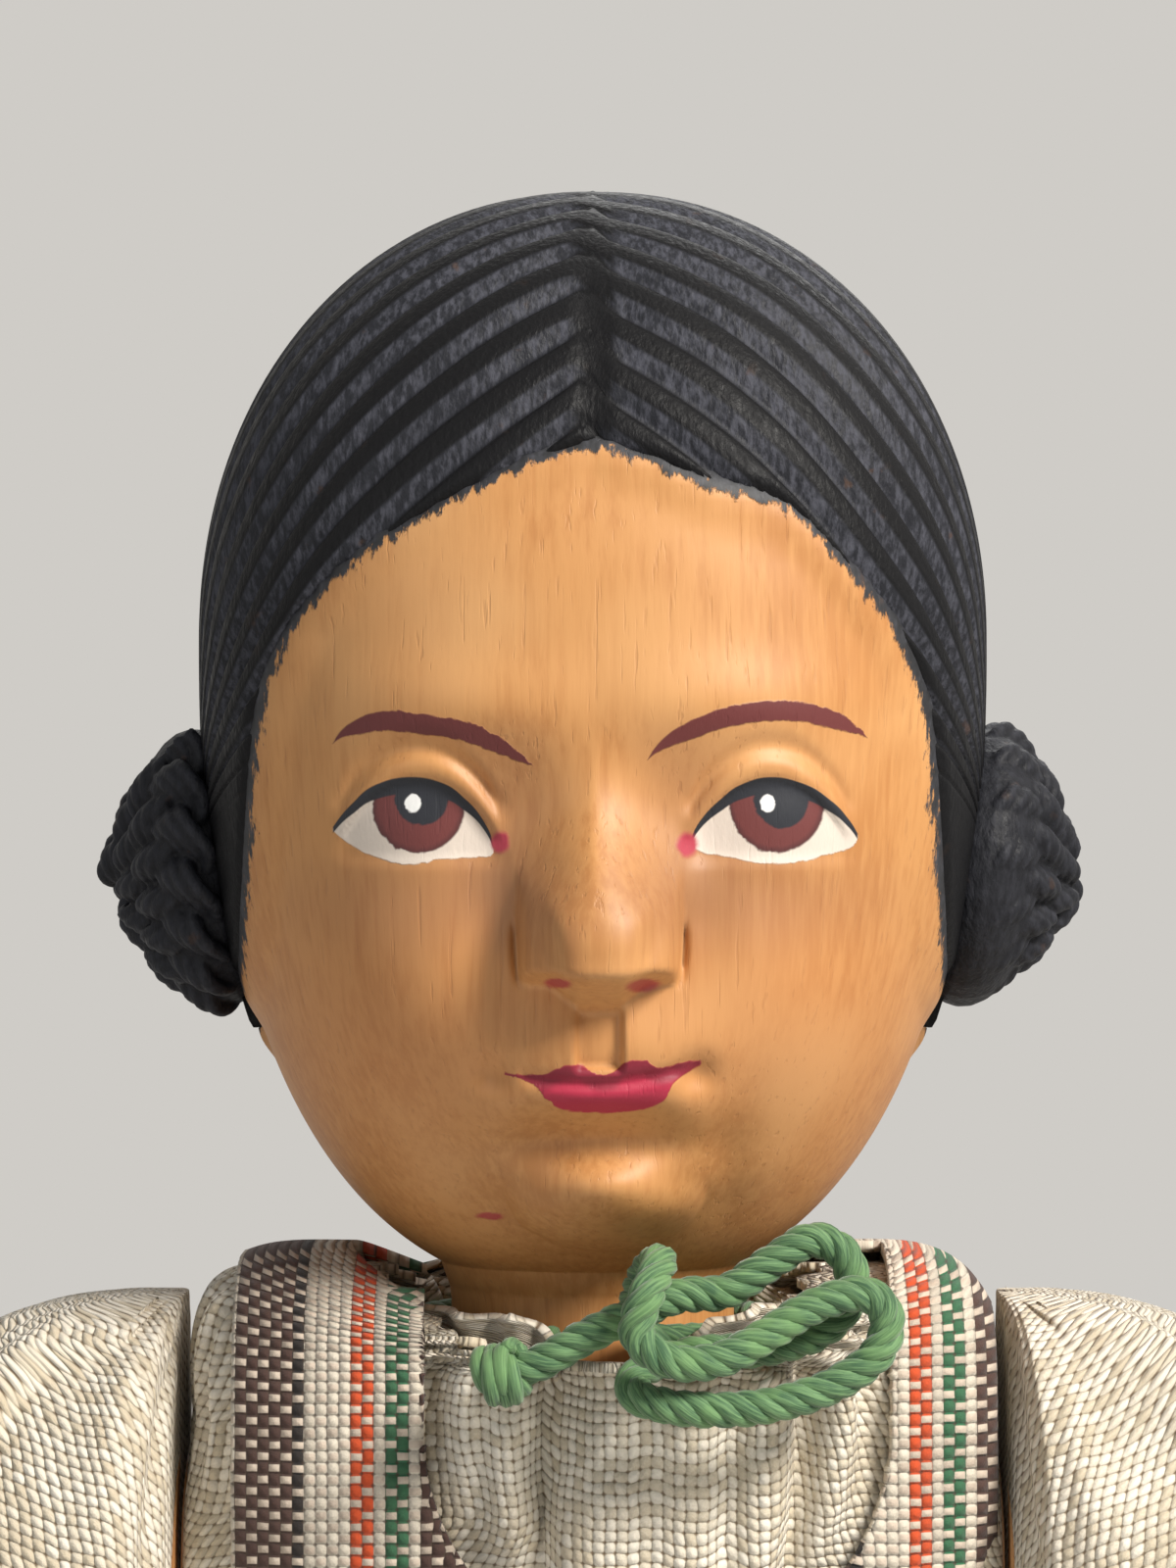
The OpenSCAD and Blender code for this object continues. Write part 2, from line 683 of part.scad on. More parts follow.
module skirt(side) {
    wall_top = (waist_z - crotch_z) / skirt_l;
    top_d = skirt_half_d(wall_top) - pleat_h - cloth_t / 2;
    hem_d = hem_half_d - pleat_h - cloth_t / 2;
    hem_z = waist_z - skirt_l;
    color(stripe_cloth) {
        skirt_shell(side);
        translate([side * (half_gap + cloth_t / 2), 0, 0]) rotate([90, 0, 90])
            linear_extrude(height = cloth_t, center = true)
                polygon([[-hem_d, hem_z], [hem_d, hem_z], [top_d, crotch_z], [-top_d, crotch_z]]);
    }
}

// Neck cord: from the knotted end through the bow, then through the slit and once round inside the neck band.
// Each point is across, depth and height above the seat of the neck
cord_sides = 8;
cord_steps = 2;
cord_points = [
    [-6, -19, 0.9], [-3.2, -19.2, 1.8], [-0.4, -19.4, 3.4], [2.5, -19.6, 4.8], [5.2, -19, 5.8], [8, -18.4, 6],
    [10.6, -17.9, 7.6], [13.2, -17.4, 9], [15.2, -17.2, 8], [15.6, -17.2, 5.6], [13.6, -17.3, 3.4],
    [10, -17.5, 2.4], [6.4, -17.6, 2.2], [3.2, -18, 1.4], [2.4, -19.6, 0], [5, -20.8, -0.7], [8.4, -20.8, -0.8],
    [11.4, -20.6, -0.4], [14.4, -20.2, 0.6], [17, -19.7, 2.4], [17.6, -19.4, 4.6], [16.2, -19.6, 6],
    [13.2, -20.2, 5.3], [10.4, -21, 3.7], [7.6, -21.8, 2.3], [4.6, -22.2, 2.2], [2.6, -22.2, 3.8],
    [3.2, -22, 6.2], [4, -20, 7.9], [3.2, -17.2, 7], [2.6, -14.4, 4.6], [3, -11, 2.4],
    [6.6, -8.8, 2], [10, -4.6, 2], [11, 0, 2], [10, 4.6, 2], [6.6, 8.8, 2], [2, 10.8, 2],
    [-2.8, 10.6, 2], [-7.2, 8.4, 2], [-10.2, 4.2, 2], [-11, 0, 2], [-10, -4.6, 2], [-6.6, -8.8, 2],
    [-2.4, -10.8, 2]];

function route_point(v, i) = v[max(0, min(len(v) - 1, i))];
function route_curve(v, i, t) = let (a = route_point(v, i - 1), b = v[i], c = route_point(v, i + 1),
    d = route_point(v, i + 2))
    0.5 * (2 * b + (c - a) * t + (2 * a - 5 * b + 4 * c - d) * t * t + (3 * b - a - 3 * c + d) * t * t * t);
function route(v) = concat(
    [for (i = [0 : len(v) - 2], k = [0 : cord_steps - 1]) route_curve(v, i, k / cord_steps)],
    [v[len(v) - 1]]);
function unit(a) = a / norm(a);
function heading(r, i) = unit(route_point(r, i + 1) - route_point(r, i - 1));
// Carries a side direction along the route without twist
function side_way(r, i) = let (h = heading(r, i), s = i == 0 ? [0, 0, 1] : side_way(r, i - 1))
    unit(s - (s * h) * h);
function cord_ring(r, i) = let (h = heading(r, i), s = side_way(r, i), u = cross(h, s))
    [for (k = [0 : cord_sides - 1]) let (a = -360 * k / cord_sides)
        r[i] + cord_d / 2 * (cos(a) * s + sin(a) * u)];

module neck_cord() {
    r = route([for (p = cord_points) p + [0, 0, neck_z]]);
    color(cord_green) skin([for (i = [0 : len(r) - 1]) cord_ring(r, i)]);
}

torso();
hip_peg();
head();
hair_bun(1);  // left_hair_bun
hair_bun(-1);  // right_hair_bun
neck_peg();
blouse();
collar();
bodice();
waistband();
neck_cord();
upper_arm(1);  // left_upper_arm
upper_arm(-1);  // right_upper_arm
shoulder_peg(1);  // left_shoulder_peg
shoulder_peg(-1);  // right_shoulder_peg
elbow_peg(1);  // left_elbow_peg
elbow_peg(-1);  // right_elbow_peg
sleeve(1);  // left_sleeve
sleeve(-1);  // right_sleeve
sleeve_band(1);  // left_sleeve_band
sleeve_band(-1);  // right_sleeve_band
forearm(1);  // left_forearm
forearm(-1);  // right_forearm
thigh(1);  // left_thigh
thigh(-1);  // right_thigh
knee_peg(1);  // left_knee_peg
knee_peg(-1);  // right_knee_peg
skirt(1);  // left_skirt
skirt(-1);  // right_skirt
lower_leg(1);  // left_lower_leg
lower_leg(-1);  // right_lower_leg
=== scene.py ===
import math

import bmesh
import bpy
from mathutils import Matrix, Vector, noise


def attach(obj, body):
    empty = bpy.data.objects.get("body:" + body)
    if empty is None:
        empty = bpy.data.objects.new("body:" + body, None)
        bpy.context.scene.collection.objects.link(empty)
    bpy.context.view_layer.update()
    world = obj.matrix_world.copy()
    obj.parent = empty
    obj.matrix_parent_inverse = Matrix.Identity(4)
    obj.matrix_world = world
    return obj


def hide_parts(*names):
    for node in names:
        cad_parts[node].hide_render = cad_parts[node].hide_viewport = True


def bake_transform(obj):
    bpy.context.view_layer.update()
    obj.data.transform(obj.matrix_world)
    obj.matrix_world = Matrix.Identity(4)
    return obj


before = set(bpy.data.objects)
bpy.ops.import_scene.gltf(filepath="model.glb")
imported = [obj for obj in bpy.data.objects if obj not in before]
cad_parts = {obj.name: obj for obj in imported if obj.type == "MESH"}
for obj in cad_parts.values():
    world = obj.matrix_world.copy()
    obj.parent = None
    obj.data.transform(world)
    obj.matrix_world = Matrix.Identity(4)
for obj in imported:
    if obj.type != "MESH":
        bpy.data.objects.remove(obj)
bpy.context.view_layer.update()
scene = bpy.context.scene
mm = 0.001


# Small sums that the shapes share
def clamp01(share):
    return max(0.0, min(1.0, share))


def smooth(share):
    c = clamp01(share)
    return c * c * (3 - 2 * c)


def bell(distance, width):
    return math.exp(-0.5 * (distance / width) ** 2)


def mix(a, b, share):
    return a + (b - a) * share


def signedPower(value, power):
    return math.copysign(abs(value) ** power, value)


def waver(x, y, z, size):
    return noise.noise(Vector((x, y, z)) / size)


# Pieces are shaped in millimetres and go into the scene in metres
def addPiece(name, bm, material, body=None):
    bmesh.ops.scale(bm, vec=(mm, mm, mm), verts=bm.verts)
    mesh = bpy.data.meshes.new(name)
    bm.to_mesh(mesh)
    bm.free()
    return placeMesh(name, mesh, material, body)


def placeMesh(name, mesh, material, body=None):
    mesh.shade_smooth()
    mesh.materials.clear()
    mesh.materials.append(material)
    piece = bpy.data.objects.new(name, mesh)
    scene.collection.objects.link(piece)
    if body:
        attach(piece, body)
    return piece


def thicken(piece, thickness):
    wall = piece.modifiers.new("cloth", "SOLIDIFY")
    wall.thickness = thickness * mm
    wall.offset = -1
    wall.use_even_offset = False
    return piece


# Node helpers
def paint(red, green, blue):
    shares = [c / 255 for c in (red, green, blue)]
    linear = [s / 12.92 if s < 0.04 else ((s + 0.055) / 1.055) ** 2.4 for s in shares]
    return (*linear, 1.0)


def put(tree, value, socket):
    if isinstance(value, bpy.types.NodeSocket):
        tree.links.new(value, socket)
    else:
        socket.default_value = value


def calc(tree, operation, *values):
    node = tree.nodes.new("ShaderNodeMath")
    node.operation = operation
    for value, socket in zip(values, node.inputs):
        put(tree, value, socket)
    return node.outputs[0]


def fade(tree, value, low, high):  # 0 at low, 1 at high
    node = tree.nodes.new("ShaderNodeMapRange")
    node.interpolation_type = "SMOOTHSTEP"
    put(tree, value, node.inputs["Value"])
    node.inputs["From Min"].default_value = low
    node.inputs["From Max"].default_value = high
    return node.outputs["Result"]


def rescale(tree, value, low, high, newLow, newHigh):
    node = tree.nodes.new("ShaderNodeMapRange")
    put(tree, value, node.inputs["Value"])
    for label, number in zip(("From Min", "From Max", "To Min", "To Max"), (low, high, newLow, newHigh)):
        node.inputs[label].default_value = number
    return node.outputs["Result"]


def layer(tree, share, under, over):
    node = tree.nodes.new("ShaderNodeMix")
    node.data_type = "RGBA"
    for value, index in ((share, 0), (under, 6), (over, 7)):
        put(tree, value, node.inputs[index])
    return node.outputs[2]


def speckle(tree, place, scale, detail=2.0, roughness=0.5):
    node = tree.nodes.new("ShaderNodeTexNoise")
    put(tree, place, node.inputs["Vector"])
    node.inputs["Scale"].default_value = scale
    node.inputs["Detail"].default_value = detail
    node.inputs["Roughness"].default_value = roughness
    return node.outputs["Fac"]


def stretched(tree, place, x, y, z):
    node = tree.nodes.new("ShaderNodeVectorMath")
    node.operation = "MULTIPLY"
    put(tree, place, node.inputs[0])
    node.inputs[1].default_value = (x, y, z)
    return node.outputs[0]


def raised(tree, height, distance):
    node = tree.nodes.new("ShaderNodeBump")
    node.inputs["Distance"].default_value = distance * mm
    put(tree, height, node.inputs["Height"])
    return node.outputs["Normal"]


def attribute(tree, name):
    node = tree.nodes.new("ShaderNodeAttribute")
    node.attribute_name = name
    return node.outputs["Fac"]


def objectPlace(tree):  # object coordinates in millimetres
    node = tree.nodes.new("ShaderNodeTexCoord")
    return stretched(tree, node.outputs["Object"], 1 / mm, 1 / mm, 1 / mm)


def clothPlace(tree):  # the cloth's own map, in millimetres of cloth
    node = tree.nodes.new("ShaderNodeUVMap")
    node.uv_map = "weave"
    return node.outputs["UV"]


def apart(tree, place):
    node = tree.nodes.new("ShaderNodeSeparateXYZ")
    put(tree, place, node.inputs[0])
    return node.outputs


def newMaterial(name, roughness):
    material = bpy.data.materials.new(name)
    material.use_nodes = True
    shader = material.node_tree.nodes["Principled BSDF"]
    shader.inputs["Roughness"].default_value = roughness
    return material, material.node_tree, shader.inputs


def newGroup(name, inputs, outputs):
    group = bpy.data.node_groups.new(name, "ShaderNodeTree")
    for label, kind in inputs:
        group.interface.new_socket(label, in_out="INPUT", socket_type=kind)
    for label in outputs:
        group.interface.new_socket(label, in_out="OUTPUT", socket_type="NodeSocketFloat")
    return group, group.nodes.new("NodeGroupInput").outputs, group.nodes.new("NodeGroupOutput").inputs


def useGroup(tree, group, **values):
    node = tree.nodes.new("ShaderNodeGroup")
    node.node_tree = group
    for label, value in values.items():
        put(tree, value, node.inputs[label])
    return node.outputs


number = "NodeSocketFloat"
vector = "NodeSocketVector"


# Wood: broad tone, fine pores along the grain (which runs up the doll) and the height for bump
def makeGrainGroup():
    group, given, made = newGroup("woodGrain", [("Place", vector), ("Length", number)],
                                  ["Tone", "Pores", "Height"])
    along = group.nodes.new("ShaderNodeCombineXYZ")
    along.inputs[0].default_value = 1
    along.inputs[1].default_value = 1
    put(group, calc(group, "DIVIDE", 1.0, given["Length"]), along.inputs[2])
    squeeze = group.nodes.new("ShaderNodeVectorMath")
    squeeze.operation = "MULTIPLY"
    put(group, given["Place"], squeeze.inputs[0])
    put(group, along.outputs[0], squeeze.inputs[1])
    place = squeeze.outputs[0]
    broad = speckle(group, place, 0.16, 3.0)
    fine = speckle(group, place, 1.9, 3.0, 0.6)
    pores = fade(group, speckle(group, place, 2.6, 2.0, 0.6), 0.60, 0.72)
    put(group, calc(group, "MULTIPLY_ADD", broad, 0.45, calc(group, "MULTIPLY", fine, 0.55)),
        made["Tone"])
    put(group, pores, made["Pores"])
    put(group, calc(group, "SUBTRACT", fine, pores), made["Height"])
    return group


# Plain weave: which thread is on top, its height, the holes between threads and a tone for each thread
def makeWeaveGroup():
    group, given, made = newGroup("plainWeave", [("Cloth", vector), ("Pitch", number), ("Slack", number)],
                                  ["Warp", "Dash", "Height", "Hole", "Tone"])
    drift = speckle(group, given["Cloth"], 0.35, 2.0)
    u, v, _ = apart(group, given["Cloth"])
    drifted = calc(group, "MULTIPLY", calc(group, "SUBTRACT", drift, 0.5), given["Slack"])
    u = calc(group, "ADD", calc(group, "DIVIDE", u, given["Pitch"]), drifted)
    v = calc(group, "SUBTRACT", calc(group, "DIVIDE", v, given["Pitch"]), drifted)
    column = calc(group, "FLOOR", u)
    row = calc(group, "FLOOR", v)
    across = calc(group, "SUBTRACT", calc(group, "FRACT", u), 0.5)
    along = calc(group, "SUBTRACT", calc(group, "FRACT", v), 0.5)
    warp = calc(group, "FLOORED_MODULO", calc(group, "ADD", column, row), 2.0)

    def swell(width, run):  # a thread that rises in the middle of its cell
        body = calc(group, "POWER", calc(group, "COSINE", calc(group, "MULTIPLY", width, 3.0)), 0.6)
        crown = calc(group, "COSINE", calc(group, "MULTIPLY", run, 3.1))
        return calc(group, "MULTIPLY", body, calc(group, "MULTIPLY_ADD", crown, 0.62, 0.38))

    warpTop = calc(group, "MULTIPLY", swell(across, along), warp)
    weftTop = calc(group, "MULTIPLY", swell(along, across), calc(group, "SUBTRACT", 1.0, warp))
    corner = calc(group, "ADD", calc(group, "ABSOLUTE", across), calc(group, "ABSOLUTE", along))
    thread = group.nodes.new("ShaderNodeCombineXYZ")
    put(group, calc(group, "MULTIPLY", column, warp), thread.inputs[0])
    put(group, calc(group, "MULTIPLY", row, calc(group, "SUBTRACT", 1.0, warp)), thread.inputs[1])
    put(group, warp, thread.inputs[2])
    random = group.nodes.new("ShaderNodeTexWhiteNoise")
    put(group, thread.outputs[0], random.inputs["Vector"])
    fibre = speckle(group, given["Cloth"], 7.0, 3.0, 0.65)
    put(group, warp, made["Warp"])
    narrow = calc(group, "MULTIPLY", fade(group, calc(group, "ABSOLUTE", along), 0.36, 0.26),
                  fade(group, calc(group, "ABSOLUTE", across), 0.52, 0.42))
    put(group, calc(group, "MULTIPLY", narrow, calc(group, "SUBTRACT", 1.0, warp)), made["Dash"])
    threads = calc(group, "ADD", warpTop, weftTop)
    put(group, calc(group, "MULTIPLY_ADD", fibre, 0.25, threads), made["Height"])
    put(group, fade(group, corner, 0.66, 0.92), made["Hole"])
    fuzz = calc(group, "MULTIPLY", fibre, 0.5)
    put(group, calc(group, "MULTIPLY_ADD", random.outputs["Value"], 0.5, fuzz), made["Tone"])
    return group


woodGrain = makeGrainGroup()
plainWeave = makeWeaveGroup()


# Finishes
woodTones = {"light": paint(209, 156, 100), "middle": paint(197, 141, 84), "dark": paint(181, 123, 68),
             "pore": paint(138, 86, 46), "grainLength": 14.0}
pegTones = {"light": paint(205, 170, 120), "middle": paint(186, 146, 94), "dark": paint(150, 108, 64),
            "pore": paint(110, 74, 42), "grainLength": 9.0}


def woodColour(tree, place, tones):
    grain = useGroup(tree, woodGrain, Place=place, Length=tones["grainLength"])
    cloudy = speckle(tree, place, 0.055, 2.0)
    colour = layer(tree, fade(tree, grain["Tone"], 0.36, 0.60), tones["dark"], tones["middle"])
    colour = layer(tree, fade(tree, cloudy, 0.48, 0.70), colour, tones["light"])
    colour = layer(tree, calc(tree, "MULTIPLY", grain["Pores"], 0.2), colour, tones["pore"])
    return colour, grain["Height"]


def makeWood(name, tones, roughness, coat):
    material, tree, shader = newMaterial(name, roughness)
    place = objectPlace(tree)
    colour, height = woodColour(tree, place, tones)
    put(tree, colour, shader["Base Color"])
    put(tree, raised(tree, height, 0.03), shader["Normal"])
    shader["Coat Weight"].default_value = coat
    shader["Coat Roughness"].default_value = 0.35
    return material


limbWood = makeWood("varnishedWood", woodTones, 0.45, 0.25)
pegWood = makeWood("pegWood", pegTones, 0.6, 0.0)

# Hair paint: grooves, hollows and the parting painted darkest as painted shade; the cut faces lighter as
# dusty cut wood and painted light from above; bare wood where paint is rubbed off
hairTones = {"groove": paint(17, 17, 19), "lock": paint(38, 39, 44), "dustyLitFace": paint(72, 73, 81),
             "bare": paint(84, 62, 48)}


def hairColour(tree, place, carve):
    streak = speckle(tree, stretched(tree, place, 1.0, 1.0, 0.3), 2.4, 4.0, 0.65)
    # darker where the carve mask is low, in the grooves and hollows of the carved hair: painted shade
    colour = layer(tree, fade(tree, carve, 0.15, 0.75), hairTones["groove"], hairTones["lock"])
    # lighter cut faces: dust on the cut wood, and painted light from above
    dustAndLight = calc(tree, "MULTIPLY", fade(tree, carve, 0.35, 0.95), fade(tree, streak, 0.40, 0.66))
    colour = layer(tree, dustAndLight, colour, hairTones["dustyLitFace"])
    rubbed = calc(tree, "MULTIPLY", fade(tree, speckle(tree, place, 0.55, 3.0), 0.66, 0.76), carve)
    return layer(tree, calc(tree, "MULTIPLY", rubbed, 0.6), colour, hairTones["bare"]), streak


def makeHair():
    material, tree, shader = newMaterial("hairPaint", 0.55)
    place = objectPlace(tree)
    colour, streak = hairColour(tree, place, attribute(tree, "carve"))
    put(tree, colour, shader["Base Color"])
    put(tree, rescale(tree, streak, 0.3, 0.7, 0.42, 0.68), shader["Roughness"])
    shader["Specular IOR Level"].default_value = 0.15
    fibre = speckle(tree, stretched(tree, place, 1, 1, 0.5), 3.2, 3.0)
    put(tree, raised(tree, fibre, 0.10), shader["Normal"])
    return material


hairPaint = makeHair()

clothThread = {"pitch": 0.72, "slack": 0.8, "stripeSlack": 0.35, "linenT": 0.6, "bandT": 0.4,
               "stripeT": 0.7}
linenTones = {"thread": paint(236, 228, 212), "shade": paint(200, 186, 160), "hole": paint(112, 92, 68)}


def makeLinen():
    material, tree, shader = newMaterial("linenCloth", 0.9)
    cloth = clothPlace(tree)
    weave = useGroup(tree, plainWeave, Cloth=cloth, Pitch=clothThread["pitch"],
                     Slack=clothThread["slack"])
    colour = layer(tree, fade(tree, weave["Tone"], 0.15, 0.75), linenTones["shade"], linenTones["thread"])
    # threads painted darker where they dip under each other, and the holes between threads painted dark:
    # painted shade
    colour = layer(tree, fade(tree, weave["Height"], 0.75, 0.2), colour, linenTones["shade"])
    colour = layer(tree, calc(tree, "MULTIPLY", weave["Hole"], 0.9), colour, linenTones["hole"])
    put(tree, colour, shader["Base Color"])
    put(tree, raised(tree, weave["Height"], 0.28), shader["Normal"])
    shader["Sheen Weight"].default_value = 0.15
    return material


# Warp threads of one repeat, in the order they lie in the loom: colour and number of threads
threadTones = {"brown": paint(74, 52, 45), "black": paint(34, 31, 31), "white": paint(218, 208, 190),
               "orange": paint(201, 78, 36), "green": paint(46, 108, 74)}
stripeWarp = [("brown", 5), ("black", 1), ("white", 4), ("orange", 2), ("white", 1), ("green", 2),
              ("white", 1)]
stripeCloth = {"weft": paint(206, 190, 172), "start": 2.9, "hole": paint(70, 54, 42)}


def makeStripes():
    material, tree, shader = newMaterial("stripedCloth", 0.9)
    cloth = clothPlace(tree)
    weave = useGroup(tree, plainWeave, Cloth=cloth, Pitch=clothThread["pitch"],
                     Slack=clothThread["stripeSlack"])
    threads = sum(count for _, count in stripeWarp)
    u = calc(tree, "DIVIDE", apart(tree, cloth)[0], clothThread["pitch"] * threads)
    ramp = tree.nodes.new("ShaderNodeValToRGB")
    ramp.color_ramp.interpolation = "CONSTANT"
    put(tree, calc(tree, "FRACT", u), ramp.inputs[0])
    spots = ramp.color_ramp.elements
    passed = 0
    for index, (tone, count) in enumerate(stripeWarp):
        spot = spots[0] if index == 0 else spots.new(passed / threads)
        spot.position = passed / threads
        spot.color = threadTones[tone]
        passed += count
    spots[-1].color = threadTones[stripeWarp[-1][0]]
    colour = layer(tree, weave["Dash"], ramp.outputs[0], stripeCloth["weft"])
    dull = calc(tree, "MULTIPLY", fade(tree, weave["Tone"], 0.6, 0.2), 0.3)
    colour = layer(tree, dull, colour, stripeCloth["hole"])
    # holes between threads painted dark: painted shade
    colour = layer(tree, calc(tree, "MULTIPLY", weave["Hole"], 0.8), colour, stripeCloth["hole"])
    put(tree, colour, shader["Base Color"])
    put(tree, raised(tree, weave["Height"], 0.28), shader["Normal"])
    shader["Sheen Weight"].default_value = 0.1
    return material


def makeCordCotton():
    material, tree, shader = newMaterial("greenCotton", 0.75)
    cloth = clothPlace(tree)
    fibre = speckle(tree, stretched(tree, cloth, 4.5, 0.35, 1.0), 1.3, 4.0, 0.65)
    patch = speckle(tree, objectPlace(tree), 0.35, 2.0)
    colour = layer(tree, fade(tree, fibre, 0.35, 0.68), paint(48, 86, 54), paint(112, 150, 100))
    faded = calc(tree, "MULTIPLY", fade(tree, patch, 0.5, 0.7), 0.5)
    colour = layer(tree, faded, colour, paint(112, 152, 92))
    put(tree, colour, shader["Base Color"])
    put(tree, raised(tree, fibre, 0.06), shader["Normal"])
    shader["Sheen Weight"].default_value = 0.25
    return material


linenCloth = makeLinen()
stripedCloth = makeStripes()
greenCotton = makeCordCotton()
print("finishes made")


# Painted face. Places are millimetres from the middle of the face and from the level of the eyes
faceLines = {
    "eyes": [
        {"upper": [(-15.6, -2.7), (-14.4, -1.3), (-12.8, -0.1), (-10.9, 0.3), (-9.1, 0.0), (-7.6, -1.0),
                   (-6.4, -2.5), (-5.9, -3.8)],
         "lower": [(-15.6, -2.8), (-14.4, -3.7), (-12.8, -4.4), (-10.9, -4.8), (-9.0, -4.45),
                   (-7.4, -4.4), (-6.3, -4.3), (-5.9, -3.9)],
         "iris": (-10.4, -1.35, 2.76), "pupil": (-10.2, -0.85, 1.6), "glint": (-10.7, -1.15, 0.46),
         "corner": (-5.5, -3.45, 0.55)},
        {"upper": [(5.8, -3.5), (6.3, -2.4), (7.6, -1.0), (8.9, -0.1), (10.5, 0.3), (12.4, -0.05),
                   (14.2, -1.1), (15.3, -2.2), (15.9, -3.1)],
         "lower": [(5.8, -3.6), (6.6, -4.1), (8.4, -4.4), (10.4, -4.75), (12.0, -4.7), (13.6, -4.3),
                   (15.2, -3.9), (15.9, -3.2)],
         "iris": (10.95, -1.2, 2.88), "pupil": (11.2, -1.0, 1.65), "glint": (10.4, -1.15, 0.46),
         "corner": (5.6, -3.6, 0.62)}],
    "brows": [
        [(-15.6, 2.4), (-14.1, 3.4), (-12.4, 3.75), (-10.2, 3.55), (-8.0, 3.2), (-5.9, 2.45),
         (-3.6, 1.1)],
        [(3.2, 1.4), (4.35, 2.5), (6.05, 3.3), (8.2, 4.0), (11.3, 4.35), (13.7, 4.0), (15.0, 3.6),
         (16.5, 2.8)]],
    "browHalf": 0.6, "lidThickness": 0.66,
    "lipTop": [(-5.2, -17.15), (-3.5, -17.3), (-2.1, -16.9), (-1.1, -16.7), (0.5, -17.25), (2.0, -16.5),
               (2.9, -16.4), (4.0, -16.85), (5.2, -16.6), (6.4, -16.45)],
    "lipFoot": [(-5.2, -17.25), (-3.6, -17.8), (-2.6, -18.9), (-1.6, -19.45), (0.3, -19.65), (2.6, -19.5),
                (4.1, -18.95), (4.8, -17.8), (5.6, -17.2), (6.4, -16.75)],
    "nostrils": [(-2.1, -11.75, 0.75, 0.34), (2.95, -11.9, 0.95, 0.42)],
    "smudge": (-6.3, -26.4, 0.8, 0.25)}

facePaints = {"brow": paint(98, 38, 37), "white": paint(216, 203, 190), "iris": paint(104, 47, 45),
              "irisEdge": paint(70, 30, 32), "pupil": paint(24, 27, 36), "glint": paint(236, 236, 234),
              "corner": paint(170, 52, 70), "lip": paint(172, 34, 64), "upperLipShade": paint(132, 22, 46),
              "nostril": paint(166, 44, 58), "shadow": paint(124, 82, 62), "cheekTone": paint(186, 116, 66)}


def drawnLine(tree, x, points):  # height of a drawn line at each x
    xs = [p[0] for p in points]
    zs = [p[1] for p in points]
    node = tree.nodes.new("ShaderNodeFloatCurve")
    spots = node.mapping.curves[0].points
    for index, (px, pz) in enumerate(points):
        share = ((px - xs[0]) / (xs[-1] - xs[0]), (pz - min(zs)) / (max(zs) - min(zs)))
        if index == 0:
            spots[0].location = share
        elif index == len(points) - 1:
            spots[len(spots) - 1].location = share
        else:
            spots.new(*share)
    node.mapping.update()
    put(tree, rescale(tree, x, xs[0], xs[-1], 0, 1), node.inputs["Value"])
    return rescale(tree, node.outputs[0], 0, 1, min(zs), max(zs))


def within(tree, x, h, points, upper, lower, edge):  # between two drawn lines and their ends
    inside = calc(tree, "MINIMUM", calc(tree, "SUBTRACT", upper, h), calc(tree, "SUBTRACT", h, lower))
    ends = calc(tree, "MINIMUM", calc(tree, "SUBTRACT", x, points[0][0]),
                calc(tree, "SUBTRACT", points[-1][0], x))
    return fade(tree, calc(tree, "MINIMUM", inside, ends), -edge, edge)


def spot(tree, x, h, cx, ch, rx, rh, edge):
    dx = calc(tree, "DIVIDE", calc(tree, "SUBTRACT", x, cx), rx)
    dh = calc(tree, "DIVIDE", calc(tree, "SUBTRACT", h, ch), rh)
    far = calc(tree, "SQRT", calc(tree, "MULTIPLY_ADD", dx, dx, calc(tree, "MULTIPLY", dh, dh)))
    return fade(tree, far, 1 + edge, 1 - edge)


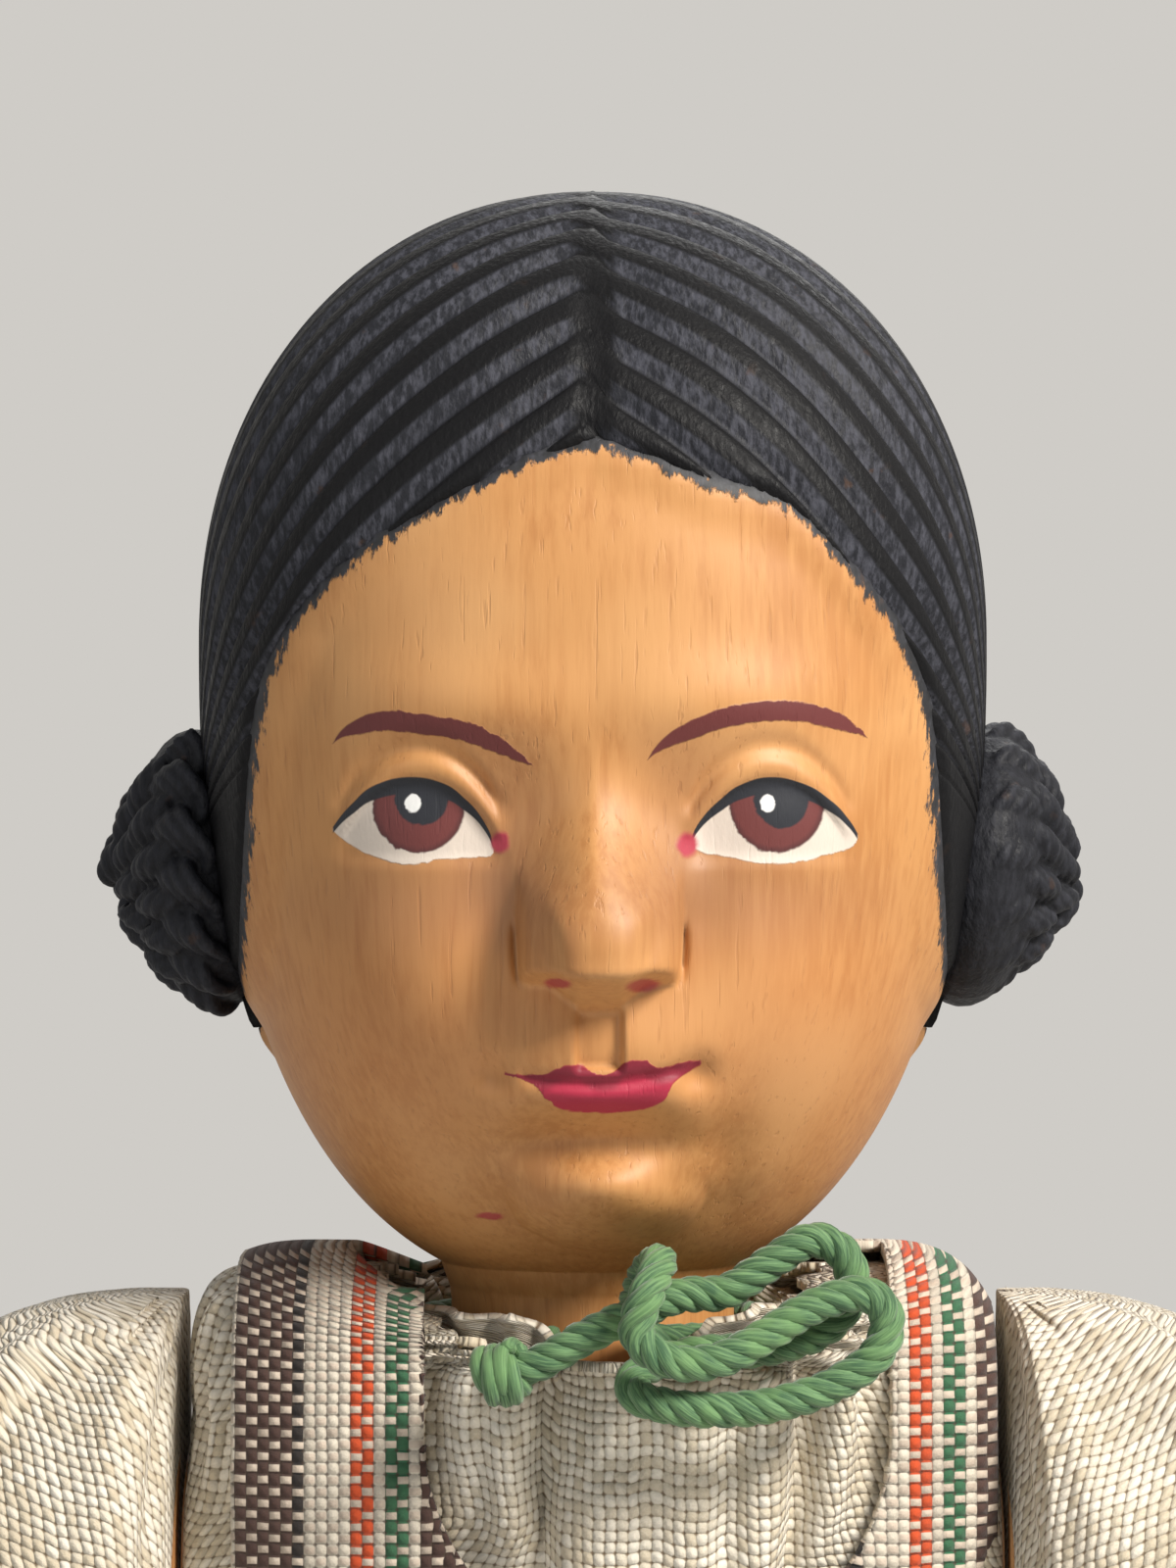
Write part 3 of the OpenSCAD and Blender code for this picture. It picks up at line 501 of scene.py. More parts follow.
def makeFace(eyeLevel):
    material, tree, shader = newMaterial("paintedFace", 0.5)
    place = objectPlace(tree)
    x, y, z = apart(tree, place)
    h = calc(tree, "SUBTRACT", z, eyeLevel)
    shaky = calc(tree, "MULTIPLY", calc(tree, "SUBTRACT", speckle(tree, place, 1.6, 3.0, 0.6), 0.5), 0.35)
    xs = calc(tree, "ADD", x, shaky)  # brush edges aren't straight
    hs = calc(tree, "ADD", h, shaky)
    front = fade(tree, y, -4.0, -8.0)
    colour, height = woodColour(tree, place, woodTones)
    for side in (-1, 1):
        for cx, ch, rx, rh, share in ((9.5, -7.0, 7.0, 2.6, 0.34), (5.6, -5.0, 3.0, 4.0, 0.36),
                                      (4.6, 0.6, 2.4, 2.6, 0.2)):
            mask = calc(tree, "MULTIPLY", spot(tree, x, h, side * cx, ch, rx, rh, 0.9), share)
            colour = layer(tree, calc(tree, "MULTIPLY", mask, front), colour, facePaints["shadow"])
        # cheeks painted a darker, warmer tone
        cheekTone = spot(tree, x, h, side * 12.0, -15.0, 7.5, 6.5, 0.95)
        colour = layer(tree, calc(tree, "MULTIPLY", cheekTone, 0.3), colour, facePaints["cheekTone"])
    layers = []
    for line in faceLines["brows"]:
        middle = drawnLine(tree, xs, line)
        t = rescale(tree, xs, line[0][0], line[-1][0], -1, 1)
        narrowing = calc(tree, "POWER", calc(tree, "ABSOLUTE", t), 5.0)
        half = calc(tree, "MULTIPLY", calc(tree, "SUBTRACT", 1.0, narrowing), faceLines["browHalf"])
        layers.append((within(tree, xs, hs, line, calc(tree, "ADD", middle, half),
                              calc(tree, "SUBTRACT", middle, half), 0.07), facePaints["brow"]))
    for eye in faceLines["eyes"]:
        upper = drawnLine(tree, x, eye["upper"])
        lower = drawnLine(tree, xs, eye["lower"])
        opening = within(tree, x, h, eye["upper"], upper, calc(tree, "ADD", lower, shaky), 0.06)
        layers.append((opening, facePaints["white"]))
        for key, shade, edge in (("iris", "irisEdge", 0.03), ("iris", "iris", 0.10),
                                 ("pupil", "pupil", 0.05)):
            cx, ch, r = eye[key]
            r = r * 0.93 if shade == "iris" else r
            disc = spot(tree, xs, hs, cx, ch, r, r, edge)
            layers.append((calc(tree, "MULTIPLY", disc, opening), facePaints[shade]))
        t = rescale(tree, x, eye["upper"][0][0], eye["upper"][-1][0], -1, 1)
        thin = calc(tree, "POWER", calc(tree, "ABSOLUTE", t), 2.0)
        taper = calc(tree, "MULTIPLY", calc(tree, "SUBTRACT", 1.35, thin), faceLines["lidThickness"])
        lid = within(tree, x, h, eye["upper"], calc(tree, "ADD", upper, 0.12),
                     calc(tree, "SUBTRACT", upper, taper), 0.06)
        layers.append((lid, facePaints["pupil"]))
        for key, edge in (("corner", 0.35), ("glint", 0.12)):
            cx, ch, r = eye[key]
            layers.append((spot(tree, xs, hs, cx, ch, r, r * 1.15, edge), facePaints[key]))
    lipTop = drawnLine(tree, xs, faceLines["lipTop"])
    lipFoot = drawnLine(tree, xs, faceLines["lipFoot"])
    lips = within(tree, xs, hs, faceLines["lipTop"], lipTop, lipFoot, 0.08)
    layers.append((lips, facePaints["lip"]))
    # upper part of the lips painted darker, as the upper lip faces down: painted shade
    seam = calc(tree, "SUBTRACT", lipTop, hs)
    layers.append((calc(tree, "MULTIPLY", lips, fade(tree, seam, 1.3, 0.6)), facePaints["upperLipShade"]))
    for cx, ch, rx, rh in [*faceLines["nostrils"], faceLines["smudge"]]:
        layers.append((calc(tree, "MULTIPLY", spot(tree, xs, hs, cx, ch, rx, rh, 0.35), 0.85),
                       facePaints["nostril"]))
    bristle = speckle(tree, stretched(tree, place, 1.0, 1.0, 0.4), 1.5, 4.0, 0.7)
    edge = calc(tree, "MULTIPLY_ADD", calc(tree, "SUBTRACT", bristle, 0.5), 2.4,
                attribute(tree, "hairEdge"))
    painted = None
    for mask, tone in layers:
        mask = calc(tree, "MULTIPLY", mask, front)
        colour = layer(tree, mask, colour, tone)
        painted = mask if painted is None else calc(tree, "MAXIMUM", painted, mask)
    hairMask = fade(tree, edge, -0.25, 0.05)
    hair, _ = hairColour(tree, place, speckle(tree, place, 1.4, 3.0))
    colour = layer(tree, hairMask, colour, hair)
    painted = calc(tree, "MAXIMUM", painted, hairMask)
    put(tree, colour, shader["Base Color"])
    put(tree, rescale(tree, painted, 0, 1, 0.54, 0.62), shader["Roughness"])
    brushed = calc(tree, "MULTIPLY", painted, speckle(tree, stretched(tree, place, 1, 1, 0.4), 5.0, 3.0))
    relief = calc(tree, "MULTIPLY_ADD", painted, 1.5, calc(tree, "ADD", height, brushed))
    put(tree, raised(tree, relief, 0.018), shader["Normal"])
    shader["Coat Weight"].default_value = 0.08
    shader["Coat Roughness"].default_value = 0.45
    return material


# Carved head
head = {"widestZ": 281.5, "crownH": 28.6, "jawH": 41.5, "halfW": 25.0, "faceD": 25.0, "napeD": 26.0,
        "hairT": 0.9, "crownPower": 2.1, "jawPower": 2.4, "ovalPower": 2.2, "jawEnd": 0.945, "neckR": 9.0,
        "neckTopZ": 240.6, "neckFootZ": 234.8, "eyeLevel": 272.5, "hairNapeZ": 256.4, "noseH": 5.6,
        "noseTop": 3.8, "noseTip": -9.9, "noseX": 0.4, "columns": 420, "rows": 236}

# Hairline, from the middle out: side and height from eye level
hairline = [(0, 20.0), (3.8, 19.0), (8.4, 16.8), (12.6, 14.4), (15.7, 12.2), (18.1, 9.8), (19.5, 7.2),
            (20.4, 4.7), (21.0, 0), (21.5, -6), (21.9, -10), (22.5, -13.5), (23.4, -16.5), (24.2, -19)]

# Rises and hollows: from the middle, from eye level, half width, half height, rise
faceForms = [(7.2, -2.2, 4.4, 3.2, -1.8), (10.8, -2.2, 3.3, 2.3, 1.3), (9.0, 4.6, 5.6, 2.0, 0.8),
             (12.5, -14.0, 5.0, 4.8, 1.3), (0, -16.6, 5.6, 2.6, 2.0), (0.5, -18.7, 2.8, 0.75, 0.75),
             (0, -21.6, 4.6, 1.1, -1.3), (6.4, -17.3, 0.9, 0.8, -0.9),
             (6.2, -20.6, 1.9, 2.4, 0.9), (6.6, -7.6, 1.5, 3.0, -0.4), (8.3, -23.4, 1.2, 2.4, -0.5)]


def levelSize(q):
    if q < 0:
        power = head["crownPower"]
        return max(0.0, 1 - (-q * head["jawH"] / head["crownH"]) ** power) ** (1 / power)
    return max(0.0, 1 - q ** head["jawPower"]) ** (1 / head["jawPower"])


def hairEdgeAt(x, y, z):  # millimetres inside the hair, below 0 on the skin
    below = z - head["hairNapeZ"]
    if y > 0:
        return min(30.0, below + 0.04 * y)
    h = z - head["eyeLevel"] + 2
    swing = math.atan2(h, abs(x))
    for (ax, ah), (bx, bh) in zip(hairline, hairline[1:]):
        first = math.atan2(ah + 2, ax)
        last = math.atan2(bh + 2, bx)
        if swing >= last or (bx, bh) == hairline[-1]:
            share = clamp01((first - swing) / (first - last))
            line = math.hypot(mix(ax, bx, share), mix(ah, bh, share) + 2)
            worn = 1.2 * bell(x - 11.6, 2.4) * smooth(h / 6)  # paint rubbed off above one temple
            return min(0.9 * (math.hypot(x, h) - line - worn), below)
    return below


def lidForm(x, h):  # upper lid: a fold over the eye, then a crease
    form = 0.0
    for middle in (-10.8, 10.9):
        t = (x - middle) / 4.9
        ends = smooth((1.2 - abs(t)) / 0.35)
        if ends == 0:
            continue
        line = -3.1 + 3.4 * (1 - min(1.0, abs(t)) ** 2.2)
        form += ends * (0.34 * bell(h - line - 0.8, 0.55) - 0.38 * bell(h - line - 2.0, 0.5))
        form -= 0.3 * ends * smooth((line - h) / 0.3 + 0.5) * smooth((h + 5.2) / 1.2)
    return form


def noseForm(n, h):
    down = smooth((head["noseTop"] - h) / (head["noseTop"] - head["noseTip"]))
    ridge = bell(n, mix(1.9, 2.9, smooth((2.0 - h) / 9.0)))
    dome = max(0.0, 1 - (abs(n) / 5.1) ** 2.2) ** 0.62
    low = smooth((-4.5 - h) / 4.0)
    wing = smooth((abs(n) - 1.1) / 2.2)
    foot = -13.4 + 1.3 * wing
    form = head["noseH"] * mix(ridge, dome, low) * down ** 1.5 * smooth((h - foot) / mix(2.4, 1.3, wing))
    form -= 0.5 * bell(abs(n) - 3.0 - 0.25 * (h + 10), 0.5) * bell(h + 9.4, 1.5)  # between tip and wing
    crease = abs(n) - 5.15 + 0.05 * (h + 9.5) ** 2
    return form - 0.55 * bell(crease, 0.19) * smooth((h + 12.2) / 0.8) * smooth((-7.6 - h) / 1.5)


def faceRelief(x, h):
    rise = lidForm(x, h)
    for fx, fh, halfW, halfH, amount in faceForms:
        rise += amount * bell(abs(x) - fx if fx else x, halfW) * bell(h - fh, halfH)
    n = x - head["noseX"]
    rise += noseForm(n, h)
    groove = smooth((1.6 - abs(n)) / 0.4) * smooth((h + 17.3) / 0.7) * smooth((-13.0 - h) / 0.8)
    rise -= 0.8 * groove
    # line between the lips
    rise -= 0.45 * bell(h + 17.85 - 0.03 * x * x, 0.28) * smooth((5.4 - abs(x - 0.5)) / 1.0)
    far = math.hypot((x - 0.8) / 6.4, (h + 24.8) / 3.9)  # round boss of the chin, with a crease under it
    rise += 3.2 * mix(max(0.0, 1 - far * far) ** 0.75, bell(far, 0.5), smooth((h + 26.0) / 2.6))
    return rise


def skinPoint(turn, q):
    size = levelSize(q)
    front = math.cos(turn) > 0
    depth = head["faceD"] if front else head["napeD"]
    x = head["halfW"] * size * signedPower(math.sin(turn), 2 / head["ovalPower"])
    y = -depth * size * signedPower(math.cos(turn), 2 / head["ovalPower"])
    z = head["widestZ"] - q * head["jawH"]
    edge = hairEdgeAt(x, y, z)
    out = -head["hairT"] + 0.55 * smooth((edge + 2.2) / 2.2) - 1.6 * smooth((edge - 0.4) / 1.4)
    relief = faceRelief(x, z - head["eyeLevel"]) * math.cos(turn) ** 0.7 if front else 0.0
    skinY = y - out * math.cos(turn) - relief * smooth(1.5 - edge)
    return Vector((x + out * math.sin(turn), skinY, z)), edge


def makeHeadSkin():
    crownShare = 0.20
    faceShare = 0.84
    bm = bmesh.new()
    bmesh.ops.create_uvsphere(bm, u_segments=head["columns"], v_segments=head["rows"], radius=1)
    edgeLayer = bm.verts.layers.float.new("hairEdge")
    for v in bm.verts:
        row = math.acos(max(-1.0, min(1.0, v.co.z))) / math.pi
        turn = math.atan2(v.co.x, -v.co.y)
        turn -= 0.5 * math.sin(turn)  # more columns on the face than at the back
        if row < crownShare:
            q = -head["crownH"] / head["jawH"] * math.cos(math.pi / 2 * row / crownShare)
        else:
            q = head["jawEnd"] * min(1.0, (row - crownShare) / (faceShare - crownShare))
        point, edge = skinPoint(turn, q)
        if row > faceShare:
            below = (row - faceShare) / (1 - faceShare)
            neck = Vector((head["neckR"] * math.sin(turn), -head["neckR"] * math.cos(turn), 0))
            under = smooth(below / 0.4)
            neckZ = mix(head["neckTopZ"], head["neckFootZ"], clamp01((below - 0.3) / 0.5))
            close = 1 - clamp01((below - 0.85) / 0.15)
            flat = point.lerp(neck, under)
            point = Vector((flat.x * close, flat.y * close, mix(point.z, neckZ, smooth(below / 0.35))))
        v.co = point
        v[edgeLayer] = edge
    return addPiece("headSkin", bm, makeFace(head["eyeLevel"]), "head")


headSkin = makeHeadSkin()
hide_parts("head")
print("head carved:", len(headSkin.data.vertices), "points")

# Carved hair: locks run from the middle parting over the sides towards the coils
hair = {"axisY": 2.0, "axisZ": 267.2, "meanR": 33.0, "locks": 78, "perLock": 9, "grooveDepth": 0.8,
        "chevron": 0.76, "partDepth": 0.55, "partHalf": 0.5, "sunk": 2.4, "rows": 140}


def insideHead(x, y, z):  # below 1 inside the head's outline
    q = (head["widestZ"] - z) / head["jawH"]
    size = levelSize(q) if -head["crownH"] / head["jawH"] < q < 1 else 0.0
    if size <= 0.001:
        return 2.0
    depth = head["faceD"] if y < 0 else head["napeD"]
    power = head["ovalPower"]
    return (abs(x) / head["halfW"] / size) ** power + (abs(y) / depth / size) ** power


def outlineAlong(direction):
    near, far = 8.0, 48.0
    start = Vector((0, hair["axisY"], hair["axisZ"]))
    for _ in range(17):
        middle = (near + far) / 2
        p = start + direction * middle
        if insideHead(*p) < 1:
            near = middle
        else:
            far = middle
    return start + direction * near


def makeHairCap():
    bm = bmesh.new()
    bmesh.ops.create_uvsphere(bm, u_segments=hair["locks"] * hair["perLock"], v_segments=hair["rows"],
                              radius=1)
    carveLayer = bm.verts.layers.float.new("carve")
    lockTurn = 2 * math.pi / hair["locks"]
    for v in bm.verts:
        around = math.atan2(v.co.y, v.co.x)
        lean = math.acos(max(-1.0, min(1.0, v.co.z)))
        ring = math.sin(lean)
        reach = 27 * abs(math.cos(lean))
        steep = hair["chevron"] * mix(1.05, 0.5, smooth((around - 0.9) / 0.8))
        swing = around - steep * reach * (1 - 0.014 * reach) / hair["meanR"]
        swing -= 0.45 * lockTurn * smooth(math.cos(lean) / 0.04 + 0.5)  # the two sides' locks don't meet
        swing += 0.3 * lockTurn * waver(reach * (1 if lean < math.pi / 2 else -1), 30 * around, 0, 9.0)
        direction = Vector((math.cos(lean), -ring * math.cos(swing), ring * math.sin(swing)))
        p = outlineAlong(direction)
        swing = math.atan2(direction.z, -direction.y)
        side = abs(p.x)
        edge = hairEdgeAt(*p)
        phase = around / lockTurn + 1e-6
        share = phase - math.floor(phase)
        lock = math.floor(phase)
        # each lock is one gouge cut: a steep wall in front, a long slope behind, a point at the parting
        start = 0.2 + 0.35 * waver(lock * 1.7, p.x > 0, 0.5, 1.0)
        open01 = smooth((side - start) / 1.4 + 0.1) * smooth((ring - 0.14) / 0.25)
        open01 *= smooth((swing - 0.15) / 0.5) if p.y < 2 else 1.0
        top = 0.30 + 0.50 * open01
        wall = smooth((share - 0.24) / 0.12)
        slope = clamp01((top - share) / max(0.05, top - 0.34))
        cut = wall * slope * open01 * (0.85 + 0.3 * waver(p.x, p.y, p.z, 5.0))
        part = smooth((hair["partHalf"] - abs(p.x + 0.3 * waver(0, p.y, p.z, 8.0))) / 0.5 + 0.5)
        part *= smooth((edge + 0.5) / 2.0)
        depth = max(hair["grooveDepth"] * cut, hair["partDepth"] * part * smooth((308 - p.z) / 8))
        face = open01 * smooth((share - 0.34) / 0.1) * smooth((top - share) / 0.1)
        depth += hair["sunk"] * smooth(0.5 - edge / 1.4)
        normal = Vector((p.x / head["halfW"] ** 2, p.y / head["faceD"] ** 2,
                         (p.z - head["widestZ"]) / 33.0 ** 2))
        v.co = p - normal.normalized() * depth
        # this mask makes the hair paint darken the parting and the grooves as painted shade, and lighten
        # the cut faces as dusty cut wood and painted light
        v[carveLayer] = max(0.12 * (1 - part), face)
    return addPiece("hairCap", bm, hairPaint, "head")


hairCap = makeHairCap()
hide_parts("head")
print("hair carved:", len(hairCap.data.vertices), "points")


# Strands: routes swept by a round bevel
def sweepMesh(name, routes, radius, sides):
    curve = bpy.data.curves.new(name, "CURVE")
    curve.dimensions = "3D"
    curve.bevel_depth = radius * mm
    curve.bevel_resolution = sides
    for route in routes:
        spline = curve.splines.new("POLY")
        spline.points.add(len(route) - 1)
        for point, place in zip(spline.points, route):
            point.co = (*(place * mm), 1)
    holder = bpy.data.objects.new(name, curve)
    scene.collection.objects.link(holder)
    mesh = bpy.data.meshes.new_from_object(holder.evaluated_get(bpy.context.evaluated_depsgraph_get()))
    bpy.data.objects.remove(holder)
    bm = bmesh.new()
    bm.from_mesh(mesh)
    bmesh.ops.holes_fill(bm, edges=[e for e in bm.edges if e.is_boundary], sides=0)
    bm.to_mesh(mesh)
    bm.free()
    return mesh


def fuse(mesh, grain):  # joins what overlaps into one carved skin
    holder = bpy.data.objects.new("fuse", mesh)
    scene.collection.objects.link(holder)
    remesh = holder.modifiers.new("fuse", "REMESH")
    remesh.mode = "VOXEL"
    remesh.voxel_size = grain * mm
    fused = bpy.data.meshes.new_from_object(holder.evaluated_get(bpy.context.evaluated_depsgraph_get()))
    bpy.data.objects.remove(holder)
    return fused


def markCarving(mesh, reach):  # 1 on ridges, 0 in hollows
    bm = bmesh.new()
    bm.from_mesh(mesh)
    carveLayer = bm.verts.layers.float.new("carve")
    bmesh.ops.smooth_vert(bm, verts=bm.verts, factor=0.5, use_axis_x=True, use_axis_y=True,
                          use_axis_z=True)
    soft = bm.copy()
    for _ in range(7):
        bmesh.ops.smooth_vert(soft, verts=soft.verts, factor=0.5, use_axis_x=True, use_axis_y=True,
                              use_axis_z=True)
    soft.verts.ensure_lookup_table()
    for v in bm.verts:
        rise = (v.co - soft.verts[v.index].co).dot(v.normal)
        v[carveLayer] = clamp01(0.5 + rise / (2 * reach * mm))
    soft.free()
    bm.to_mesh(mesh)
    bm.free()


# A three-strand plait wound into a coil over each ear
plait = {"seatX": 24.0, "y": 2.0, "z": 267.2, "tilt": 8.0, "outerR": 8.1, "innerR": 2.4, "turns": 2.15,
         "outerRise": 2.0, "innerRise": 5.0, "halfW": 1.75, "halfT": 0.75, "strandR": 0.5,
         "strandGap": 0.82, "period": 8.6, "steps": 420, "voxel": 0.15}


def plaitRoutes():
    routes = []
    for strand in range(3):
        for hairLine in (-1.5, -0.5, 0.5, 1.5):
            route = []
            run = 0.0
            for step in range(plait["steps"] + 1):
                share = step / plait["steps"]
                swing = 2 * math.pi * plait["turns"] * share + 0.6
                r = mix(plait["outerR"], plait["innerR"], share ** 0.9)
                run += r * 2 * math.pi * plait["turns"] / plait["steps"]
                radial = Vector((math.cos(swing), math.sin(swing), 0))
                outward = (Vector((0, 0, 1)) + radial).normalized()
                across = (Vector((0, 0, 1)) - radial).normalized()
                psi = 2 * math.pi * (run / plait["period"] + strand / 3)
                middle = radial * r + Vector((0, 0, mix(plait["outerRise"], plait["innerRise"], share)))
                slope = across * (plait["halfW"] * math.sin(psi) + plait["strandGap"] * hairLine)
                bulge = 0.25 * (1.5 - abs(hairLine))
                route.append(middle + slope + outward * (plait["halfT"] * math.sin(2 * psi) + bulge))
            routes.append(route)
    return routes


def makePlait(side):
    mesh = sweepMesh("plait", plaitRoutes(), plait["strandR"], 2)
    bm = bmesh.new()
    bm.from_mesh(mesh)
    core = bmesh.ops.create_uvsphere(bm, u_segments=32, v_segments=16, radius=mm)["verts"]
    bmesh.ops.scale(bm, vec=(9.0, 9.0, 4.6), verts=core)
    bmesh.ops.translate(bm, vec=(0, 0, 0.6 * mm), verts=core)
    turn = Matrix.Rotation(math.radians(side * (90 + plait["tilt"])), 4, "Y")
    spread = Matrix.Translation(Vector((side * plait["seatX"], plait["y"], plait["z"])) * mm)
    flip = Matrix.Scale(-1, 4, (0, 1, 0)) if side < 0 else Matrix.Identity(4)
    bmesh.ops.transform(bm, matrix=spread @ turn @ flip, verts=bm.verts)
    bmesh.ops.recalc_face_normals(bm, faces=bm.faces)
    bm.to_mesh(mesh)
    bm.free()
    fused = fuse(mesh, plait["voxel"])
    # the hair paint darkens the plait's hollows by this mask: painted shade
    markCarving(fused, 0.22)
    name = "left" if side > 0 else "right"
    piece = placeMesh(name + "HairCoil", fused, hairPaint, "head")
    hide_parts(name + "_hair_bun")
    return piece


for side in (1, -1):
    coil = makePlait(side)
    print("hair coil:", len(coil.data.vertices), "points")

# Neck cord: it ends inside the neck band, goes once round the neck and through the slit,
# makes the bow and ends in the stopper knot
cord = {"diameter": 2.2, "lift": 236.0, "strands": 4, "strandR": 0.53, "strandOut": 0.60, "lay": 5.0,
        "steps": 9}
cordPoints = [
    (-6, -19, 0.9), (-3.2, -19.2, 1.8), (-0.4, -19.4, 3.4), (2.5, -19.6, 4.8), (5.2, -19, 5.8),
    (8, -18.4, 6), (10.6, -17.9, 7.6), (13.2, -17.4, 9), (15.2, -17.2, 8), (15.6, -17.2, 5.6),
    (13.6, -17.3, 3.4), (10, -17.5, 2.4), (6.4, -17.6, 2.2), (3.2, -18, 1.4), (2.4, -19.6, 0),
    (5, -20.8, -0.7), (8.4, -20.8, -0.8), (11.4, -20.6, -0.4), (14.4, -20.2, 0.6), (17, -19.7, 2.4),
    (17.6, -19.4, 4.6), (16.2, -19.6, 6), (13.2, -20.2, 5.3), (10.4, -21, 3.7), (7.6, -21.8, 2.3),
    (4.6, -22.2, 2.2), (2.6, -22.2, 3.8), (3.2, -22, 6.2), (4, -20, 7.9), (3.2, -17.2, 7),
    (2.6, -14.4, 4.6), (3, -11, 2.4), (6.6, -8.8, 2), (10, -4.6, 2), (11, 0, 2), (10, 4.6, 2),
    (6.6, 8.8, 2), (2, 10.8, 2), (-2.8, 10.6, 2), (-7.2, 8.4, 2), (-10.2, 4.2, 2), (-11, 0, 2),
    (-10, -4.6, 2), (-6.6, -8.8, 2), (-2.4, -10.8, 2)]


def smoothRoute(points, steps):
    spots = [Vector(p) for p in points]
    route = []
    for i in range(len(spots) - 1):
        a, b, c, d = (spots[max(0, min(len(spots) - 1, i + k))] for k in (-1, 0, 1, 2))
        for k in range(steps):
            t = k / steps
            route.append(0.5 * (2 * b + (c - a) * t + (2 * a - 5 * b + 4 * c - d) * t * t
                                + (3 * b - a - 3 * c + d) * t ** 3))
    return route + [spots[-1]]


def twistedRoutes(route, strands, out, lay):
    routes = [[] for _ in range(strands)]
    side = Vector((0, 0, 1))
    run = 0.0
    for i, place in enumerate(route):
        heading = (route[min(len(route) - 1, i + 1)] - route[max(0, i - 1)]).normalized()
        side = (side - heading * side.dot(heading)).normalized()
        up = heading.cross(side)
        run += (place - route[i - 1]).length if i else 0.0
        for k in range(strands):
            swing = 2 * math.pi * (run / lay + k / strands)
            routes[k].append(place + out * (side * math.cos(swing) + up * math.sin(swing)))
    return routes, run


def mapStrands(mesh, lengths, sides):  # the cotton's own map: round each strand and along it
    weave = mesh.uv_layers.new(name="weave")
    places = []
    for count, length in lengths:
        places += [(k % sides, length * (k // sides) / (count - 1)) for k in range(count * sides)]
    for polygon in mesh.polygons:
        wraps = {places[v][0] for v in polygon.vertices} >= {0, sides - 1}
        for loop in polygon.loop_indices:
            round01, along = places[mesh.loops[loop].vertex_index]
            weave.data[loop].uv = ((sides if wraps and round01 == 0 else round01) / sides * 3.3, along)


def makeCord():
    route = smoothRoute([(x, y, z + cord["lift"]) for x, y, z in reversed(cordPoints)], cord["steps"])
    routes, length = twistedRoutes(route, cord["strands"], cord["strandOut"], cord["lay"])
    mesh = sweepMesh("neckCord", routes, cord["strandR"], 2)
    mapStrands(mesh, [(len(route), length)] * cord["strands"], 8)
    piece = placeMesh("neckCord", mesh, greenCotton, "torso")
    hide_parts("neck_cord")
    return piece, route, length


def makeKnot(centre, axis, r, turns):  # the end of the cord wound round itself
    along = Vector(axis).normalized()
    side = along.orthogonal().normalized()
    up = along.cross(side)
    steps = int(28 * turns)
    route = []
    for step in range(steps + 1):
        swing = 2 * math.pi * turns * step / steps
        rise = mix(-0.9, 0.9, step / steps)
        route.append(Vector(centre) + along * rise + r * (side * math.cos(swing) + up * math.sin(swing)))
    routes, length = twistedRoutes(route, cord["strands"], cord["strandOut"] * 0.9, cord["lay"] * 1.3)
    mesh = sweepMesh("cordKnot", routes, cord["strandR"], 2)
    mapStrands(mesh, [(len(route), length)] * cord["strands"], 8)
    return placeMesh("cordKnot", mesh, greenCotton, "torso")


neckCord, cordRoute, cordLength = makeCord()
cordKnot = makeKnot((-5.4, -19.0, 237.1), (1, -0.1, 0.3), 1.0, 2.2)
print("cord:", round(cordLength, 1), "mm long")


# Cloth is a grid that a shape bends; its map keeps the threads at their real size
def clothGrid(columns, rows, shape, closed, gathered=False):
    bm = bmesh.new()
    bmesh.ops.create_grid(bm, x_segments=columns, y_segments=rows, size=0.5)
    weave = bm.loops.layers.uv.new("weave")
    spots = {}
    for v in bm.verts:
        key = (round((v.co.x + 0.5) * columns), round((v.co.y + 0.5) * rows))
        spots[key] = v
    for (column, row), v in spots.items():
        v.co = shape(column / columns, row / rows)
    across = {}
    up = {}
    half = columns // 2
    for row in range(rows + 1):
        across[(half, row)] = 0.0
        for step in (1, -1):
            column = half
            while 0 <= column + step <= columns:
                gap = (spots[(column + step, row)].co - spots[(column, row)].co).length
                across[(column + step, row)] = across[(column, row)] + step * gap
                column += step
    for column in range(columns + 1):
        up[(column, 0)] = 0.0
        for row in range(rows):
            gap = (spots[(column, row + 1)].co - spots[(column, row)].co).length
            up[(column, row + 1)] = up[(column, row)] + gap
    keys = {v: key for key, v in spots.items()}
    for face in bm.faces:
        for loop in face.loops:
            column, row = keys[loop.vert]
            loop[weave].uv = (across[(column, 0 if gathered else row)], up[(column, row)])
    if closed:
        bmesh.ops.remove_doubles(bm, verts=bm.verts, dist=0.001)
    return bm


def faceOut(bm, middle):  # turns the sheet so that its outside looks away from the middle line
    total = 0.0
    for f in bm.faces:
        out = f.calc_center_median() - Vector((*middle, 0))
        out.z = 0
        total += out.dot(f.normal) * f.calc_area()
    if total < 0:
        bmesh.ops.reverse_faces(bm, faces=bm.faces)
    return bm


def makeCloth(names, size, shape, closed, middle, finish, body, thickness):
    bm = faceOut(clothGrid(*size, shape, closed), middle)
    piece = thicken(addPiece(names[0], bm, finish, body), thickness)
    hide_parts(names[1])
    return piece


# Blouse over the chest
chest = {"waistZ": 169.4, "shoulderZ": 228.0, "waistHalfW": 17.0, "waistHalfD": 10.5, "halfW": 24.0,
         "halfD": 11.5, "waistPower": 2.6, "shoulderPower": 3.4, "neckR": 13.8, "neckFrontZ": 237.0,
         "neckSideZ": 242.0, "chestShare": 0.6}


